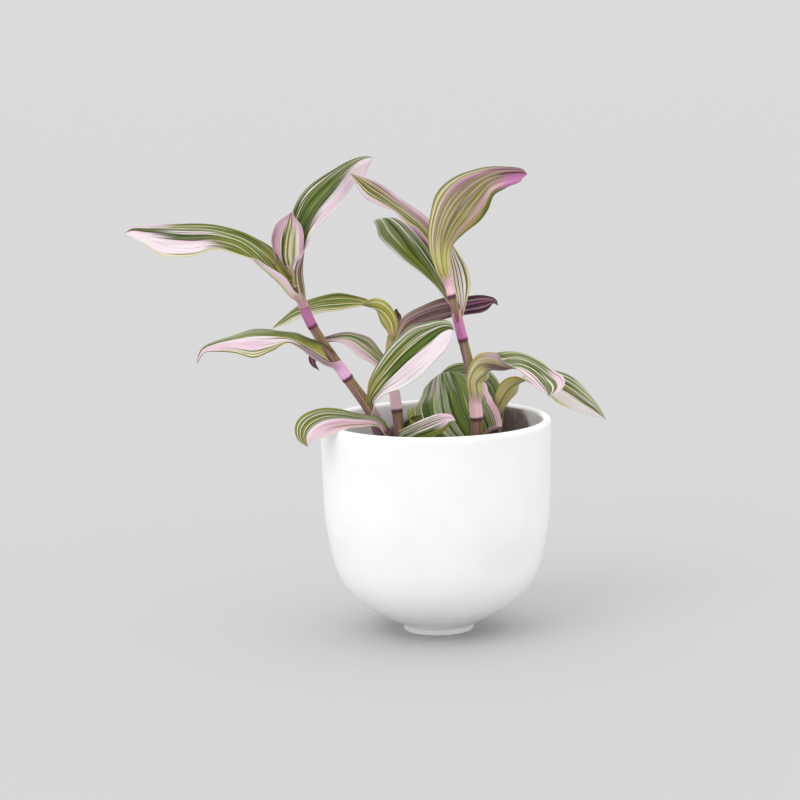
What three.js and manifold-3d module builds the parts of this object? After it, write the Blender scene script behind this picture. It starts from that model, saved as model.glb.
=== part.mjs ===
// Potted tradescantia: a glazed pot, its soil, four stems and their sheathed leaves.
// Millimetres, +Z up. The origin is the middle of the pot's foot, on the surface it stands on.
import * as THREE from "three";
import { mergeVertices } from "three/addons/utils/BufferGeometryUtils.js";
import Module from "manifold-3d";

const wasm = await Module();
wasm.setup();

// Driving dimensions
const rimRadius = 45;
const potHeight = 84;
const potWall = 3.4;
const footRadius = 14;
const footHeight = 2.6;
const floorHeight = 7.5;
const soilHeight = 67;
const gap = 0.3; // between pieces that touch on the real plant
const leafThickness = 0.7;
const nodeSwelling = 0.35; // how far a node ring stands out of its stem
const sheathInset = 0.45; // a stem is this much thinner inside a leaf sheath
const mouthLength = 3; // from the top of a closed sheath to the start of the blade
const tubeFold = 0.97 * Math.PI; // half angle of a closed sheath
const channelFold = 1.45; // the same where the blade leaves its sheath
const openFold = 0.8; // the same on a leaf with no sheath, which only hugs its stem
const openHug = 1.5; // how far up its stem such a leaf hugs it
const flatBy = 0.4; // share of a blade by which its channel has opened to the blade's own cup
const tipHalfWidth = 0.35;
const ringTaper = 0.9; // a node ring swells over this length below its full part
const ringHeight = 0.9; // of its full part, which ends at the node
const ringTop = 0.4; // a node ring narrows over this length above the node
const ringClear = 2.4; // no other section of a stem lies nearer a node than this
const sheathClear = 1.5; // a stem stays thin this far past a sheath
const soilLump = 0.55; // how far the soil's surface rises and falls

// Fineness of the faceting
const potSegments = 40;
const potOuterSteps = 12;
const potInnerSteps = 9;
const lipSteps = 5;
const soilSegments = 32;
const soilRings = [36, 30, 23, 16, 9]; // radii on the soil's surface
const stemSides = 10;
const stemStep = 7;
const leafAcross = 8;
const leafAlong = 11;
const curveSteps = 40; // in each span of a curve, when its length is measured

// Colours
const glazeWhite = 0xf3f3f2;
const soilBrown = 0x3a2a20;
const stemMauve = 0xa3816f;
const leafGreen = 0x7d9156;

const plant = new THREE.Group();

function addPiece(name, geometry, color, roughness) {
  const material = new THREE.MeshStandardMaterial({ color, roughness, metalness: 0 });
  const mesh = new THREE.Mesh(geometry, material);
  mesh.name = name;
  plant.add(mesh);
  return mesh;
}

// Solids by adding and cutting
function toManifold(geometry) {
  const bare = geometry.clone();
  bare.deleteAttribute("normal");
  bare.deleteAttribute("uv");
  const merged = mergeVertices(bare);
  return new wasm.Manifold(new wasm.Mesh({
    numProp: 3,
    vertProperties: new Float32Array(merged.attributes.position.array),
    triVerts: new Uint32Array(merged.index.array),
  }));
}

function toGeometry(solid) {
  const mesh = solid.getMesh();
  const geometry = new THREE.BufferGeometry();
  geometry.setAttribute("position", new THREE.BufferAttribute(mesh.vertProperties, 3));
  geometry.setIndex(new THREE.BufferAttribute(mesh.triVerts, 1));
  return geometry;
}

// A solid lofted through rings of equal count. Each ring runs counter-clockwise about the direction
// of the loft. Its first half faces its second half, so the two faces of a thin blade are split into
// triangles alike.
function loft(rings) {
  const count = rings[0].length;
  const half = count / 2;
  const positions = rings.flat().flatMap((point) => point.toArray());
  const faces = [];
  const quad = (a, b, c, d) => faces.push(a, b, c, a, c, d);
  for (let i = 0; i < rings.length - 1; i++) {
    for (let j = 0; j < count; j++) {
      const next = (j + 1) % count;
      const a = i * count + j;
      const b = i * count + next;
      const c = b + count;
      const d = a + count;
      if (j < half) {
        quad(a, b, c, d);
      } else {
        quad(b, c, d, a);
      }
    }
  }
  const last = (rings.length - 1) * count;
  for (let j = 0; j < half - 1; j++) {
    quad(j, count - 1 - j, count - 2 - j, j + 1);
    quad(last + j, last + j + 1, last + count - 2 - j, last + count - 1 - j);
  }
  const geometry = new THREE.BufferGeometry();
  geometry.setAttribute("position", new THREE.Float32BufferAttribute(positions, 3));
  geometry.setIndex(faces);
  geometry.computeVertexNormals();
  return geometry;
}

const smooth = (x) => THREE.MathUtils.smoothstep(x, 0, 1);
const vector = (xyz) => new THREE.Vector3(...xyz);

function curveThrough(points) {
  const curve = new THREE.CatmullRomCurve3(points, false, "centripetal");
  curve.arcLengthDivisions = (points.length - 1) * curveSteps;
  return curve;
}

// Pot
const outerProfile = new THREE.SplineCurve([
  new THREE.Vector2(15, footHeight + 0.4),
  new THREE.Vector2(24, 7.5),
  new THREE.Vector2(33, 14),
  new THREE.Vector2(39, 22.4),
  new THREE.Vector2(42.3, 35),
  new THREE.Vector2(44.2, 50.5),
  new THREE.Vector2(rimRadius, potHeight - potWall / 2),
]);
const innerProfile = new THREE.SplineCurve([
  new THREE.Vector2(rimRadius - potWall, potHeight - potWall / 2),
  new THREE.Vector2(40.8, 50.5),
  new THREE.Vector2(38.9, 36),
  new THREE.Vector2(35.2, 24),
  new THREE.Vector2(28.5, 15.2),
  new THREE.Vector2(17, 9.3),
  new THREE.Vector2(6, floorHeight),
]);

function turned(profile, segments) {
  const geometry = new THREE.LatheGeometry(profile, segments);
  geometry.rotateX(Math.PI / 2);
  return geometry;
}

function potSolid() {
  const lipCentre = new THREE.Vector2(rimRadius - potWall / 2, potHeight - potWall / 2);
  const lip = [];
  for (let k = 1; k < lipSteps; k++) {
    const angle = (Math.PI * k) / lipSteps;
    const outward = new THREE.Vector2(Math.cos(angle), Math.sin(angle));
    lip.push(outward.multiplyScalar(potWall / 2).add(lipCentre));
  }
  const profile = [
    new THREE.Vector2(0, 0),
    new THREE.Vector2(footRadius - 0.6, 0),
    new THREE.Vector2(footRadius, 0.6),
    new THREE.Vector2(footRadius, footHeight),
    ...outerProfile.getSpacedPoints(potOuterSteps),
    ...lip,
    ...innerProfile.getSpacedPoints(potInnerSteps),
    new THREE.Vector2(0, floorHeight),
  ];
  return turned(profile, potSegments);
}

addPiece("pot", potSolid(), glazeWhite, 0.16);

// Stems. Points run up the middle of each stem from its buried end. Leaves hang on it at their node, given
// as the length of stem below it.
const stems = {
  a: {
    points: [[-17, -3, 52], [-18, -4, 67], [-21, -5, 78], [-25.5, -7, 89], [-34, -9, 102],
      [-47, -11, 123], [-51, -11.5, 133], [-54, -12, 141]],
    radius: [2.8, 1.5],
  },
  b: {
    points: [[-12, 6, 53], [-13, 6, 67], [-14, 7, 77], [-15, 8, 86], [-16, 8, 95], [-17, 9, 104],
      [-17, 10, 112], [-15.5, 11, 118]],
    radius: [2.7, 1.4],
  },
  c: {
    points: [[17, 0, 52], [16.5, -1, 67], [16, -2, 78], [16, -2, 84], [14, -3, 101],
      [11, -3, 115], [7, -3, 132], [4.5, -2, 141], [3, -1, 147]],
    radius: [2.9, 1.25],
  },
  d: {
    points: [[20, 17, 54], [22, 19, 68], [23.5, 21, 76], [24.5, 22, 84]],
    radius: [1.9, 1.5],
  },
};

for (const stem of Object.values(stems)) {
  stem.curve = curveThrough(stem.points.map(vector));
  stem.length = stem.curve.getLength();
  stem.leaves = [];
}

function axisAt(stem, distance) {
  const share = THREE.MathUtils.clamp(distance / stem.length, 0, 1);
  return { point: stem.curve.getPointAt(share), tangent: stem.curve.getTangentAt(share) };
}

// Leaves
// sheath: length of the closed tube above the node, tube: its mid radius
// rib: points of the midrib past the sheath, face: where the upper side looks, evenly along the blade
// wide: greatest width, belly: share of the blade where it is, cup: half angle of its cross arc
const leaves = {
  leaf_a1: {
    stem: "a", node: 16.3, sheath: 2.5, tube: 3.3, wide: 17, belly: 0.45, cup: 0.45,
    rib: [[-24.5, -8.5, 77.5], [-28.5, -14, 84.5], [-33.5, -20, 88], [-39, -25, 87.3], [-44.5, -28, 83],
      [-49, -29, 77.5]],
    face: [[-0.1, -0.2, 1], [-0.3, -0.5, 0.8], [-0.6, -0.7, 0.2]],
  },
  leaf_a2: {
    stem: "a", node: 27.5, sheath: 8, tube: 3.3, wide: 19, belly: 0.48, cup: 0.35,
    rib: [[-22.5, -9.5, 94], [-19, -12, 98], [-13.5, -14, 105.5], [-6.5, -15.5, 112], [0.5, -15.5, 116.5],
      [7, -13, 119.8]],
    face: [[-0.3, -0.8, 0.5], [-0.2, -0.85, 0.5], [-0.1, -0.85, 0.5]],
  },
  leaf_a3: {
    stem: "a", node: 54, sheath: 7, tube: 3.1, wide: 15, belly: 0.5, cup: 0.45,
    rib: [[-43.5, -11, 111.5], [-50, -12.5, 115.5], [-57, -14, 117], [-66, -15, 117.8], [-75, -16, 117],
      [-84, -16, 114], [-91, -15, 110]],
    face: [[0.1, -0.5, 0.85], [0, -0.5, 0.85], [-0.2, -0.5, 0.85]],
  },
  leaf_a4: {
    stem: "a", node: 78.5, sheath: 7, tube: 2.9, wide: 17, belly: 0.5, cup: 0.4,
    rib: [[-49.4, -11.5, 136], [-50.2, -10.5, 143], [-49.8, -8, 155], [-45, -5, 166], [-37.5, -1, 176],
      [-29.5, 3, 183], [-22, 6, 186.5]],
    face: [[-0.6, -0.7, 0.3], [-0.5, -0.8, 0.3], [-0.5, -0.8, 0.4]],
  },
  leaf_a5: {
    stem: "a", node: 88.5, nested: true, sheath: 3, tube: 2, wide: 17, belly: 0.52, cup: 0.5,
    rib: [[-57.5, -14, 138.8], [-61.5, -15, 142.5], [-66.5, -16, 147], [-75, -17, 151.3], [-86, -17, 154],
      [-101, -17, 156.8], [-118, -16, 159.5]],
    face: [[0.2, -0.5, 0.8], [0, -0.7, 0.7], [0, -0.7, 0.7]],
  },
  leaf_a6: {
    stem: "a", node: 95.4, nested: true, sheath: 2.5, tube: 1.6, wide: 13, belly: 0.5, cup: 0.9,
    rib: [[-55, -12, 146], [-56.5, -11, 153], [-56, -11, 160], [-54, -12, 166.5]],
    face: [[-0.1, -1, 0], [-0.1, -1, 0]],
  },
  leaf_b1: {
    stem: "b", node: 15.5, sheath: 2, tube: 3.2, wide: 14, belly: 0.5, cup: 0.4,
    rib: [[-11, -2, 77], [-7, -11, 81], [-2, -21, 84], [3, -28, 86.5], [8, -33, 88.5]],
    face: [[0, -0.3, 1], [0, -0.7, 0.7], [0, -0.7, 0.7]],
  },
  leaf_b2: {
    stem: "b", node: 22.5, open: true, tube: 3, wide: 8, belly: 0.3, cup: 0.6,
    rib: [[-9, 6, 81.5], [-6, 5, 85]],
    face: [[-0.5, -0.7, 0.5]],
  },
  leaf_b3: {
    stem: "b", node: 33.2, sheath: 7, tube: 3.1, wide: 15, belly: 0.45, cup: 0.5,
    rib: [[-21.5, 6, 101], [-25, 5, 106.5], [-30, 4.5, 111], [-36, 4, 113.2], [-42, 3, 113], [-46, 2, 110],
      [-47, 2, 106], [-45.5, 2, 102.5]],
    face: [[0.3, -0.4, 0.9], [-0.2, -0.3, 0.9], [-0.9, 0, -0.4]],
  },
  leaf_b4: {
    stem: "b", node: 50, sheath: 3.5, tube: 3.1, wide: 16, belly: 0.5, cup: 0.45,
    rib: [[-11.5, 8.5, 115], [-8, 9, 120.5], [-1, 10, 124.5], [9, 12, 126.3], [18, 13, 127], [25, 14, 126],
      [26.5, 14, 124]],
    face: [[-0.2, 0.5, 0.85], [0, 0.65, 0.75], [0, 0.6, 0.8]],
  },
  leaf_b5: {
    stem: "b", node: 57, nested: true, sheath: 2.5, tube: 2.2, wide: 15, belly: 0.5, cup: 0.45,
    rib: [[-19.3, 9.3, 118.5], [-20.8, 8.5, 123], [-26, 8.5, 126.2], [-34, 9, 127.5], [-44, 9, 126.5],
      [-53, 8, 124], [-62, 7, 119.5]],
    face: [[0.6, -0.3, 0.7], [0, -0.4, 0.9], [0, -0.4, 0.9]],
  },
  leaf_b6: {
    stem: "b", node: 62.8, nested: true, sheath: 1.8, tube: 1.55, wide: 5, belly: 0.5, cup: 0.9,
    rib: [[-14, 11.5, 120], [-14.5, 12, 126]],
    face: [[0, -1, 0], [0, -1, 0]],
  },
  leaf_c1: {
    stem: "c", node: 17, sheath: 3, tube: 3.4, wide: 35, belly: 0.36, cup: 0.25,
    rib: [[11.5, 6, 78.5], [8.5, 13, 86], [6.5, 20, 91.3], [5, 27, 94.5], [3.5, 33, 96.2], [2, 38, 96.5]],
    face: [[-0.1, -0.6, 0.8], [-0.1, -0.5, 0.85], [0, -0.1, 1]],
  },
  leaf_c2: {
    stem: "c", node: 32.1, sheath: 7.5, tube: 3, wide: 17, belly: 0.5, cup: 0.45,
    rib: [[15, -6.5, 97], [15.2, -7.5, 101.5], [17.5, -8.5, 105.8], [22, -9.5, 108.3], [29, -10, 107.5],
      [37, -11, 104], [42, -12, 99.5], [44.5, -13, 94]],
    face: [[-0.5, 0.5, 0.7], [-0.1, -0.3, 0.95], [0.4, -0.5, 0.75]],
  },
  leaf_c3: {
    stem: "c", node: 63.5, sheath: 4, tube: 2.6, wide: 18, belly: 0.55, cup: 0.35,
    rib: [[6.2, 0.3, 127], [3, 2, 134.5], [-3.5, 4, 145], [-9.5, 7, 152.5], [-15.5, 11.5, 158],
      [-19.5, 16.5, 159.5], [-21, 21, 157.5]],
    face: [[0.5, -0.7, 0.4], [0.3, -0.7, 0.6], [0, -0.3, 0.95]],
  },
  leaf_c4: {
    stem: "c", node: 81, sheath: 5.5, tube: 1.95, wide: 19, belly: 0.5, cup: 0.5,
    rib: [[4.2, -5.5, 147], [4.2, -7, 154], [5.8, -7.5, 161.5], [10, -7, 168], [17.5, -5, 173],
      [26, -3, 176.3], [37, -1, 179]],
    face: [[0, 0.9, 0.3], [-0.2, 0.8, 0.5], [-0.2, 0.6, 0.7]],
  },
  leaf_c5: {
    stem: "c", node: 91.5, nested: true, sheath: 2, tube: 1.35, wide: 16, belly: 0.5, cup: 0.6,
    rib: [[1, 1.5, 151.5], [-5, 1.5, 158], [-14, -1, 165.5], [-23, -4.5, 173.5], [-30.5, -7, 180]],
    face: [[0.3, 0.5, 0.8], [0.3, 0.4, 0.85]],
  },
  leaf_c6: {
    stem: "c", node: 70.5, open: true, tube: 2.7, wide: 11, belly: 0.5, cup: 0.6,
    rib: [[11.8, -3.8, 127.5], [12.3, -1.5, 133], [11.3, 2, 141], [9.6, 4, 148.5], [8.5, 5, 153.5]],
    face: [[-0.3, -0.8, 0.3], [-0.3, -0.8, 0.3]],
  },
  leaf_d1: {
    stem: "d", node: 21.5, sheath: 4, tube: 2, wide: 15, belly: 0.5, cup: 0.45,
    rib: [[26.5, 20.5, 88], [28.5, 19, 92], [32, 17.5, 95.5], [38, 15, 97], [45, 13, 95.5], [52, 11, 91.5],
      [59, 9, 87], [67, 7, 81]],
    face: [[-0.4, -0.3, 0.8], [0.2, -0.5, 0.85], [0.3, -0.6, 0.8]],
  },
  leaf_d2: {
    stem: "d", node: 14.5, sheath: 1.5, tube: 2.4, wide: 18, belly: 0.5, cup: 0.4,
    rib: [[20, 25, 77], [20, 30.5, 87], [18.5, 36.5, 96], [15.5, 41, 100.3], [12, 44.5, 101], [8, 49, 99.5]],
    face: [[-0.5, -0.4, 0.8], [0, -0.2, 1], [0, 0, 1]],
  },
};

function halfWidth(leaf, share) {
  const neck = (leaf.open ? openFold : channelFold) * leaf.tube;
  const widest = leaf.wide / 2;
  if (share < leaf.belly) {
    return THREE.MathUtils.lerp(neck, widest, smooth(share / leaf.belly));
  }
  const past = (share - leaf.belly) / (1 - leaf.belly);
  return tipHalfWidth + (widest - tipHalfWidth) * (1 - past * past);
}

function faceDirection(leaf, start, share) {
  const looks = [start, ...leaf.face.map(vector)];
  const place = share * (looks.length - 1);
  const index = Math.min(Math.floor(place), looks.length - 2);
  return looks[index].clone().lerp(looks[index + 1], smooth(place - index));
}

function leafSection(centre, tangent, face, fold, spread) {
  const up = face.clone().addScaledVector(tangent, -face.dot(tangent)).normalize();
  const side = tangent.clone().cross(up);
  const radius = spread / fold;
  const upper = [];
  const lower = [];
  for (let k = 0; k <= leafAcross; k++) {
    const angle = fold * ((2 * k) / leafAcross - 1);
    const inward = up.clone().multiplyScalar(Math.cos(angle)).addScaledVector(side, -Math.sin(angle));
    const middle = centre.clone().addScaledVector(up, radius).addScaledVector(inward, -radius);
    upper.push(middle.clone().addScaledVector(inward, leafThickness / 2));
    lower.unshift(middle.clone().addScaledVector(inward, -leafThickness / 2));
  }
  return [...upper, ...lower];
}

function leafSolid(stem, leaf) {
  const closed = leaf.open ? 0 : leaf.sheath;
  const hug = leaf.open ? openHug : leaf.sheath;
  const axis = [gap + nodeSwelling, hug, closed + mouthLength].map(
    (distance) => axisAt(stem, leaf.node + distance));
  const mouth = axis[2];
  const outward = vector(leaf.rib[0]).sub(mouth.point);
  outward.addScaledVector(mouth.tangent, -outward.dot(mouth.tangent)).normalize();
  const sheathRib = axis.map(({ point }) => point.clone().addScaledVector(outward, leaf.tube));
  const rib = curveThrough([...sheathRib, ...leaf.rib.map(vector)]);
  const lengths = rib.getLengths();
  const total = lengths.at(-1);
  const inward = outward.clone().negate();

  const sheathTop = lengths[curveSteps] / total;
  const bladeStart = lengths[2 * curveSteps] / total;
  const startFold = leaf.open ? openFold : tubeFold;
  const neckFold = leaf.open ? openFold : channelFold;
  const addSheathRing = (place, fold) => rings.push(leafSection(
    rib.getPointAt(place), rib.getTangentAt(place), inward, fold, fold * leaf.tube));
  const rings = [];
  addSheathRing(0, startFold);
  for (const opened of [0, 1 / 3, 2 / 3]) {
    addSheathRing(THREE.MathUtils.lerp(sheathTop, bladeStart, opened),
      THREE.MathUtils.lerp(startFold, neckFold, opened));
  }
  for (let i = 0; i <= leafAlong; i++) {
    const share = i / leafAlong;
    const place = THREE.MathUtils.lerp(bladeStart, 1, share);
    const fold = THREE.MathUtils.lerp(neckFold, leaf.cup, smooth(share / flatBy));
    rings.push(leafSection(rib.getPointAt(place), rib.getTangentAt(place),
      faceDirection(leaf, inward, share), fold, halfWidth(leaf, share)));
  }
  return loft(rings);
}

for (const [name, leaf] of Object.entries(leaves)) {
  const stem = stems[leaf.stem];
  stem.leaves.push(leaf);
  addPiece(name, leafSolid(stem, leaf), leafGreen, 0.45);
}

// Stem solids: tapered, swollen at each node ring and thinner inside each sheath
function stemStations(stem) {
  const sheathed = stem.leaves.filter((leaf) => !leaf.open);
  const ringed = sheathed.filter((leaf) => !leaf.nested);
  const stations = [[stem.length, -sheathInset]];
  for (const { node } of ringed) {
    stations.push([node - ringHeight - ringTaper, 0], [node - ringHeight, nodeSwelling],
      [node, nodeSwelling], [node + ringTop, -sheathInset]);
  }
  for (let distance = 0; distance < stem.length - 2; distance += stemStep) {
    const inSheath = sheathed.some(({ node, sheath }) =>
      distance > node - sheathClear && distance < node + sheath + mouthLength + sheathClear);
    const nearRing = ringed.some(({ node }) => Math.abs(distance - node) < ringClear);
    if (!nearRing) {
      stations.push([distance, inSheath ? -sheathInset : 0]);
    }
  }
  return stations.sort((first, second) => first[0] - second[0]);
}

function stemSolid(stem, extra) {
  const rings = stemStations(stem).map(([distance, swelling]) => {
    const { point, tangent } = axisAt(stem, distance);
    if (distance === 0) {
      point.addScaledVector(tangent, -extra);
    }
    const side = new THREE.Vector3(1, 0, 0).addScaledVector(tangent, -tangent.x).normalize();
    const front = tangent.clone().cross(side);
    const radius = THREE.MathUtils.lerp(...stem.radius, distance / stem.length) + swelling + extra;
    const ring = [];
    for (let k = 0; k < stemSides; k++) {
      const angle = (2 * Math.PI * k) / stemSides;
      ring.push(point.clone()
        .addScaledVector(side, radius * Math.cos(angle))
        .addScaledVector(front, radius * Math.sin(angle)));
    }
    return ring;
  });
  return loft(rings);
}

for (const [letter, stem] of Object.entries(stems)) {
  addPiece(`stem_${letter}`, stemSolid(stem, 0), stemMauve, 0.5);
}

// Soil: fills the pot to the soil line, with a plain hole round each stem
function soilSolid() {
  const side = innerProfile.getSpacedPoints(potInnerSteps).filter((point) => point.y < soilHeight - 2);
  const profile = [
    new THREE.Vector2(0, floorHeight + gap),
    ...side.reverse().map((point) => new THREE.Vector2(point.x - gap, point.y + gap)),
    new THREE.Vector2(40.6, soilHeight - 0.6),
    ...soilRings.map((radius) => new THREE.Vector2(radius, soilHeight)),
    new THREE.Vector2(0, soilHeight),
  ];
  const geometry = turned(profile, soilSegments);
  const position = geometry.attributes.position;
  for (let i = 0; i < position.count; i++) {
    if (position.getZ(i) > soilHeight - 0.1) {
      const x = position.getX(i);
      const y = position.getY(i);
      // two crossing waves, 20 and 10 mm long
      const lump = Math.sin(0.33 * x + 1.2) * Math.cos(0.29 * y) + 0.6 * Math.sin(0.61 * x - 0.47 * y);
      position.setZ(i, soilHeight + soilLump * lump);
    }
  }
  return geometry;
}

let soil = toManifold(soilSolid());
for (const stem of Object.values(stems)) {
  soil = soil.subtract(toManifold(stemSolid(stem, gap + 0.05)));
}
addPiece("soil", toGeometry(soil), soilBrown, 0.95);

export default plant;
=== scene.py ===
import bpy
import math
import random
from bisect import bisect_right
from mathutils import Matrix, Vector, noise


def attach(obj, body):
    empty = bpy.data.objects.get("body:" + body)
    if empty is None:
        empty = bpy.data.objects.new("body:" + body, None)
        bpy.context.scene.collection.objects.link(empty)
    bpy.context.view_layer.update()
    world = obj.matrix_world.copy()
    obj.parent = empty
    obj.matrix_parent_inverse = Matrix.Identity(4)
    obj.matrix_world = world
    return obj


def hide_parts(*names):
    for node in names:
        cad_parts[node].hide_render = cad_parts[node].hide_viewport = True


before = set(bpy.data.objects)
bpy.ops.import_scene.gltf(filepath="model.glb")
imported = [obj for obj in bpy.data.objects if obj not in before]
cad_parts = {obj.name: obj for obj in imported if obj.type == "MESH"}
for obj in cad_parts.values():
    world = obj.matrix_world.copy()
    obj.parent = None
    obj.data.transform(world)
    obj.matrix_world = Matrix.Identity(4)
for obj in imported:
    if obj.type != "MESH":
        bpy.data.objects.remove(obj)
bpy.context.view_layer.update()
mm = 0.001  # the plant's sizes below are in millimetres
print("frame loaded,", len(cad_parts), "nodes")

view = {
    "place": (-13.7, -1050, 263.8),
    "pitch": 9.33,  # degrees below level
    "roll": -1.05,
    "lens": 123.0,
    "sensor": 36.0,
    "near": 10,
    "far": 100000,
}


def placeCamera():
    camera = bpy.data.objects.new("camera", bpy.data.cameras.new("camera"))
    bpy.context.collection.objects.link(camera)
    camera.data.lens = view["lens"]
    camera.data.sensor_width = view["sensor"]
    camera.data.dof.use_dof = False
    camera.data.clip_start = view["near"] * mm
    camera.data.clip_end = view["far"] * mm
    tilt = Matrix.Rotation(math.radians(90 - view["pitch"]), 4, "X")
    roll = Matrix.Rotation(math.radians(view["roll"]), 4, "Z")
    camera.matrix_world = Matrix.Translation(Vector(view["place"]) * mm) @ tilt @ roll
    bpy.context.scene.camera = camera


placeCamera()
bpy.context.scene.view_settings.view_transform = "Standard"  # keeps the white glaze white

# settings that many nodes share
mixing = {"data_type": "RGBA"}
shading = {"data_type": "RGBA", "blend_type": "MULTIPLY"}
adding = {"operation": "ADD"}
scaling = {"operation": "MULTIPLY_ADD"}  # the first input times the second, plus the third


def linearColour(shade):
    # sRGB hex to the linear colour that shaders expect; a plain number is a grey of that level
    if not isinstance(shade, str):
        return (shade, shade, shade, 1)
    channels = [int(shade[i:i + 2], 16) / 255 for i in (1, 3, 5)]
    linear = [c / 12.92 if c <= 0.04045 else ((c + 0.055) / 1.055) ** 2.4 for c in channels]
    return (*linear, 1)


def addNode(tree, kind, settings=None, inputs=None, stops=None, easing="LINEAR"):
    # settings are the node's own options, inputs give each socket a value or the socket that
    # feeds it, and stops give a ramp's shades by their places
    node = tree.nodes.new("ShaderNode" + kind)
    for key, value in (settings or {}).items():
        setattr(node, key, value)
    for key, value in (inputs or {}).items():
        if isinstance(value, bpy.types.NodeSocket):
            tree.links.new(value, node.inputs[key])
        else:
            node.inputs[key].default_value = value
    if stops:
        elements = node.color_ramp.elements
        node.color_ramp.interpolation = easing
        elements.remove(elements[0])
        elements[0].position = min(stops)
        for place, shade in stops.items():
            element = elements[0] if place == min(stops) else elements.new(place)
            element.color = linearColour(shade)
    return node.outputs


def newMaterial(name):
    material = bpy.data.materials.new(name)
    material.use_nodes = True
    material.node_tree.nodes.clear()
    return material, material.node_tree


def finishMaterial(tree, inputs):
    shader = addNode(tree, "BsdfPrincipled", None, inputs)
    addNode(tree, "OutputMaterial", None, {"Surface": shader[0]})


def patternOn(tree, place, size, detail=2.0, rough=0.5):
    # an uneven pattern of a given size along each axis of the place it reads, or along all three
    scale = [1 / s for s in (size if isinstance(size, tuple) else (size,) * 3)]
    spread = addNode(tree, "Mapping", None, {"Scale": scale, "Vector": place})[0]
    return addNode(tree, "TexNoise", None,
                   {"Scale": 1.0, "Detail": detail, "Roughness": rough, "Vector": spread})["Fac"]


def addPiece(name, vertices, faces, materials, materialIndex=None, attributes=None):
    # vertices are in millimetres, and each attribute has a number or a vector for every one
    mesh = bpy.data.meshes.new(name)
    mesh.from_pydata([v * mm for v in vertices], [], faces)
    for material in materials:
        mesh.materials.append(material)
    if materialIndex:
        mesh.polygons.foreach_set("material_index", materialIndex)
    mesh.polygons.foreach_set("use_smooth", [True] * len(mesh.polygons))
    for key, values in (attributes or {}).items():
        if isinstance(values[0], float):
            layer = mesh.attributes.new(key, "FLOAT", "POINT")
            layer.data.foreach_set("value", values)
        else:
            layer = mesh.attributes.new(key, "FLOAT_VECTOR", "POINT")
            layer.data.foreach_set("vector", [c for v in values for c in v])
    mesh.update()
    piece = bpy.data.objects.new(name, mesh)
    bpy.context.collection.objects.link(piece)
    return piece


def standFor(piece, node):
    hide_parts(node)
    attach(piece, "root")


def lerp(a, b, share):
    return a + (b - a) * share


def smooth(x):
    x = min(max(x, 0.0), 1.0)
    return x * x * (3 - 2 * x)


def eased(a, slopeA, b, slopeB, t):
    # from a at 0 to b at 1, leaving and arriving with the given slopes; numbers or vectors
    return (a * (2 * t**3 - 3 * t**2 + 1) + slopeA * (t**3 - 2 * t**2 + t)
            + b * (3 * t**2 - 2 * t**3) + slopeB * (t**3 - t**2))


def stretchOf(marks, distance):
    # which stretch between two marks a distance falls in
    return min(max(bisect_right(marks, distance) - 1, 0), len(marks) - 2)


class GrowthLine:
    # a smooth line through given points, read by the length along it
    def __init__(self, points, steps=32):
        spots = [Vector(p) for p in points]
        spots = [spots[0] * 2 - spots[1], *spots, spots[-1] * 2 - spots[-2]]
        self.samples = []
        for i in range(1, len(spots) - 2):
            p0, p1, p2, p3 = spots[i - 1:i + 3]
            d0, d1, d2 = ((b - a).length ** 0.5 for a, b in ((p0, p1), (p1, p2), (p2, p3)))
            # slopes of a centripetal spline, which keeps close where points lie close together
            slope1 = ((p1 - p0) / d0 - (p2 - p0) / (d0 + d1) + (p2 - p1) / d1) * d1
            slope2 = ((p2 - p1) / d1 - (p3 - p1) / (d1 + d2) + (p3 - p2) / d2) * d1
            self.samples += [eased(p1, slope1, p2, slope2, k / steps) for k in range(steps)]
        self.samples.append(spots[-2])
        self.lengths = [0.0]
        for a, b in zip(self.samples, self.samples[1:]):
            self.lengths.append(self.lengths[-1] + (b - a).length)
        self.steps = steps
        self.total = self.lengths[-1]

    def lengthTo(self, index):
        return self.lengths[index * self.steps]

    def point(self, distance):
        distance = min(max(distance, 0.0), self.total)
        i = stretchOf(self.lengths, distance)
        span = self.lengths[i + 1] - self.lengths[i]
        return self.samples[i].lerp(self.samples[i + 1], (distance - self.lengths[i]) / span)

    def direction(self, distance, reach=0.8):
        low = max(distance - reach, 0.0)
        high = min(distance + reach, self.total)
        return (self.point(high) - self.point(low)).normalized()


def easedValue(marks, values, distance):
    # a smooth value between the ones given at the marks, numbers or vectors
    i = stretchOf(marks, distance)
    span = marks[i + 1] - marks[i]

    def slope(k):
        low, high = max(k - 1, 0), min(k + 1, len(marks) - 1)
        return (values[high] - values[low]) * (span / (marks[high] - marks[low]))

    return eased(values[i], slope(i), values[i + 1], slope(i + 1), (distance - marks[i]) / span)


def crossAxes(tangent):
    # two directions square to a line, the first one as far to the right as it can be
    side = (Vector((1, 0, 0)) - tangent * tangent.x).normalized()
    return side, tangent.cross(side)


def tubeFaces(rings, sides):
    faces = []
    for a in range(0, (rings - 1) * sides, sides):
        for k in range(sides):
            n = (k + 1) % sides
            faces.append((a + k, a + n, a + sides + n, a + sides + k))
    faces.append(tuple(reversed(range(sides))))
    faces.append(tuple(range((rings - 1) * sides, rings * sides)))
    return faces


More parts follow.
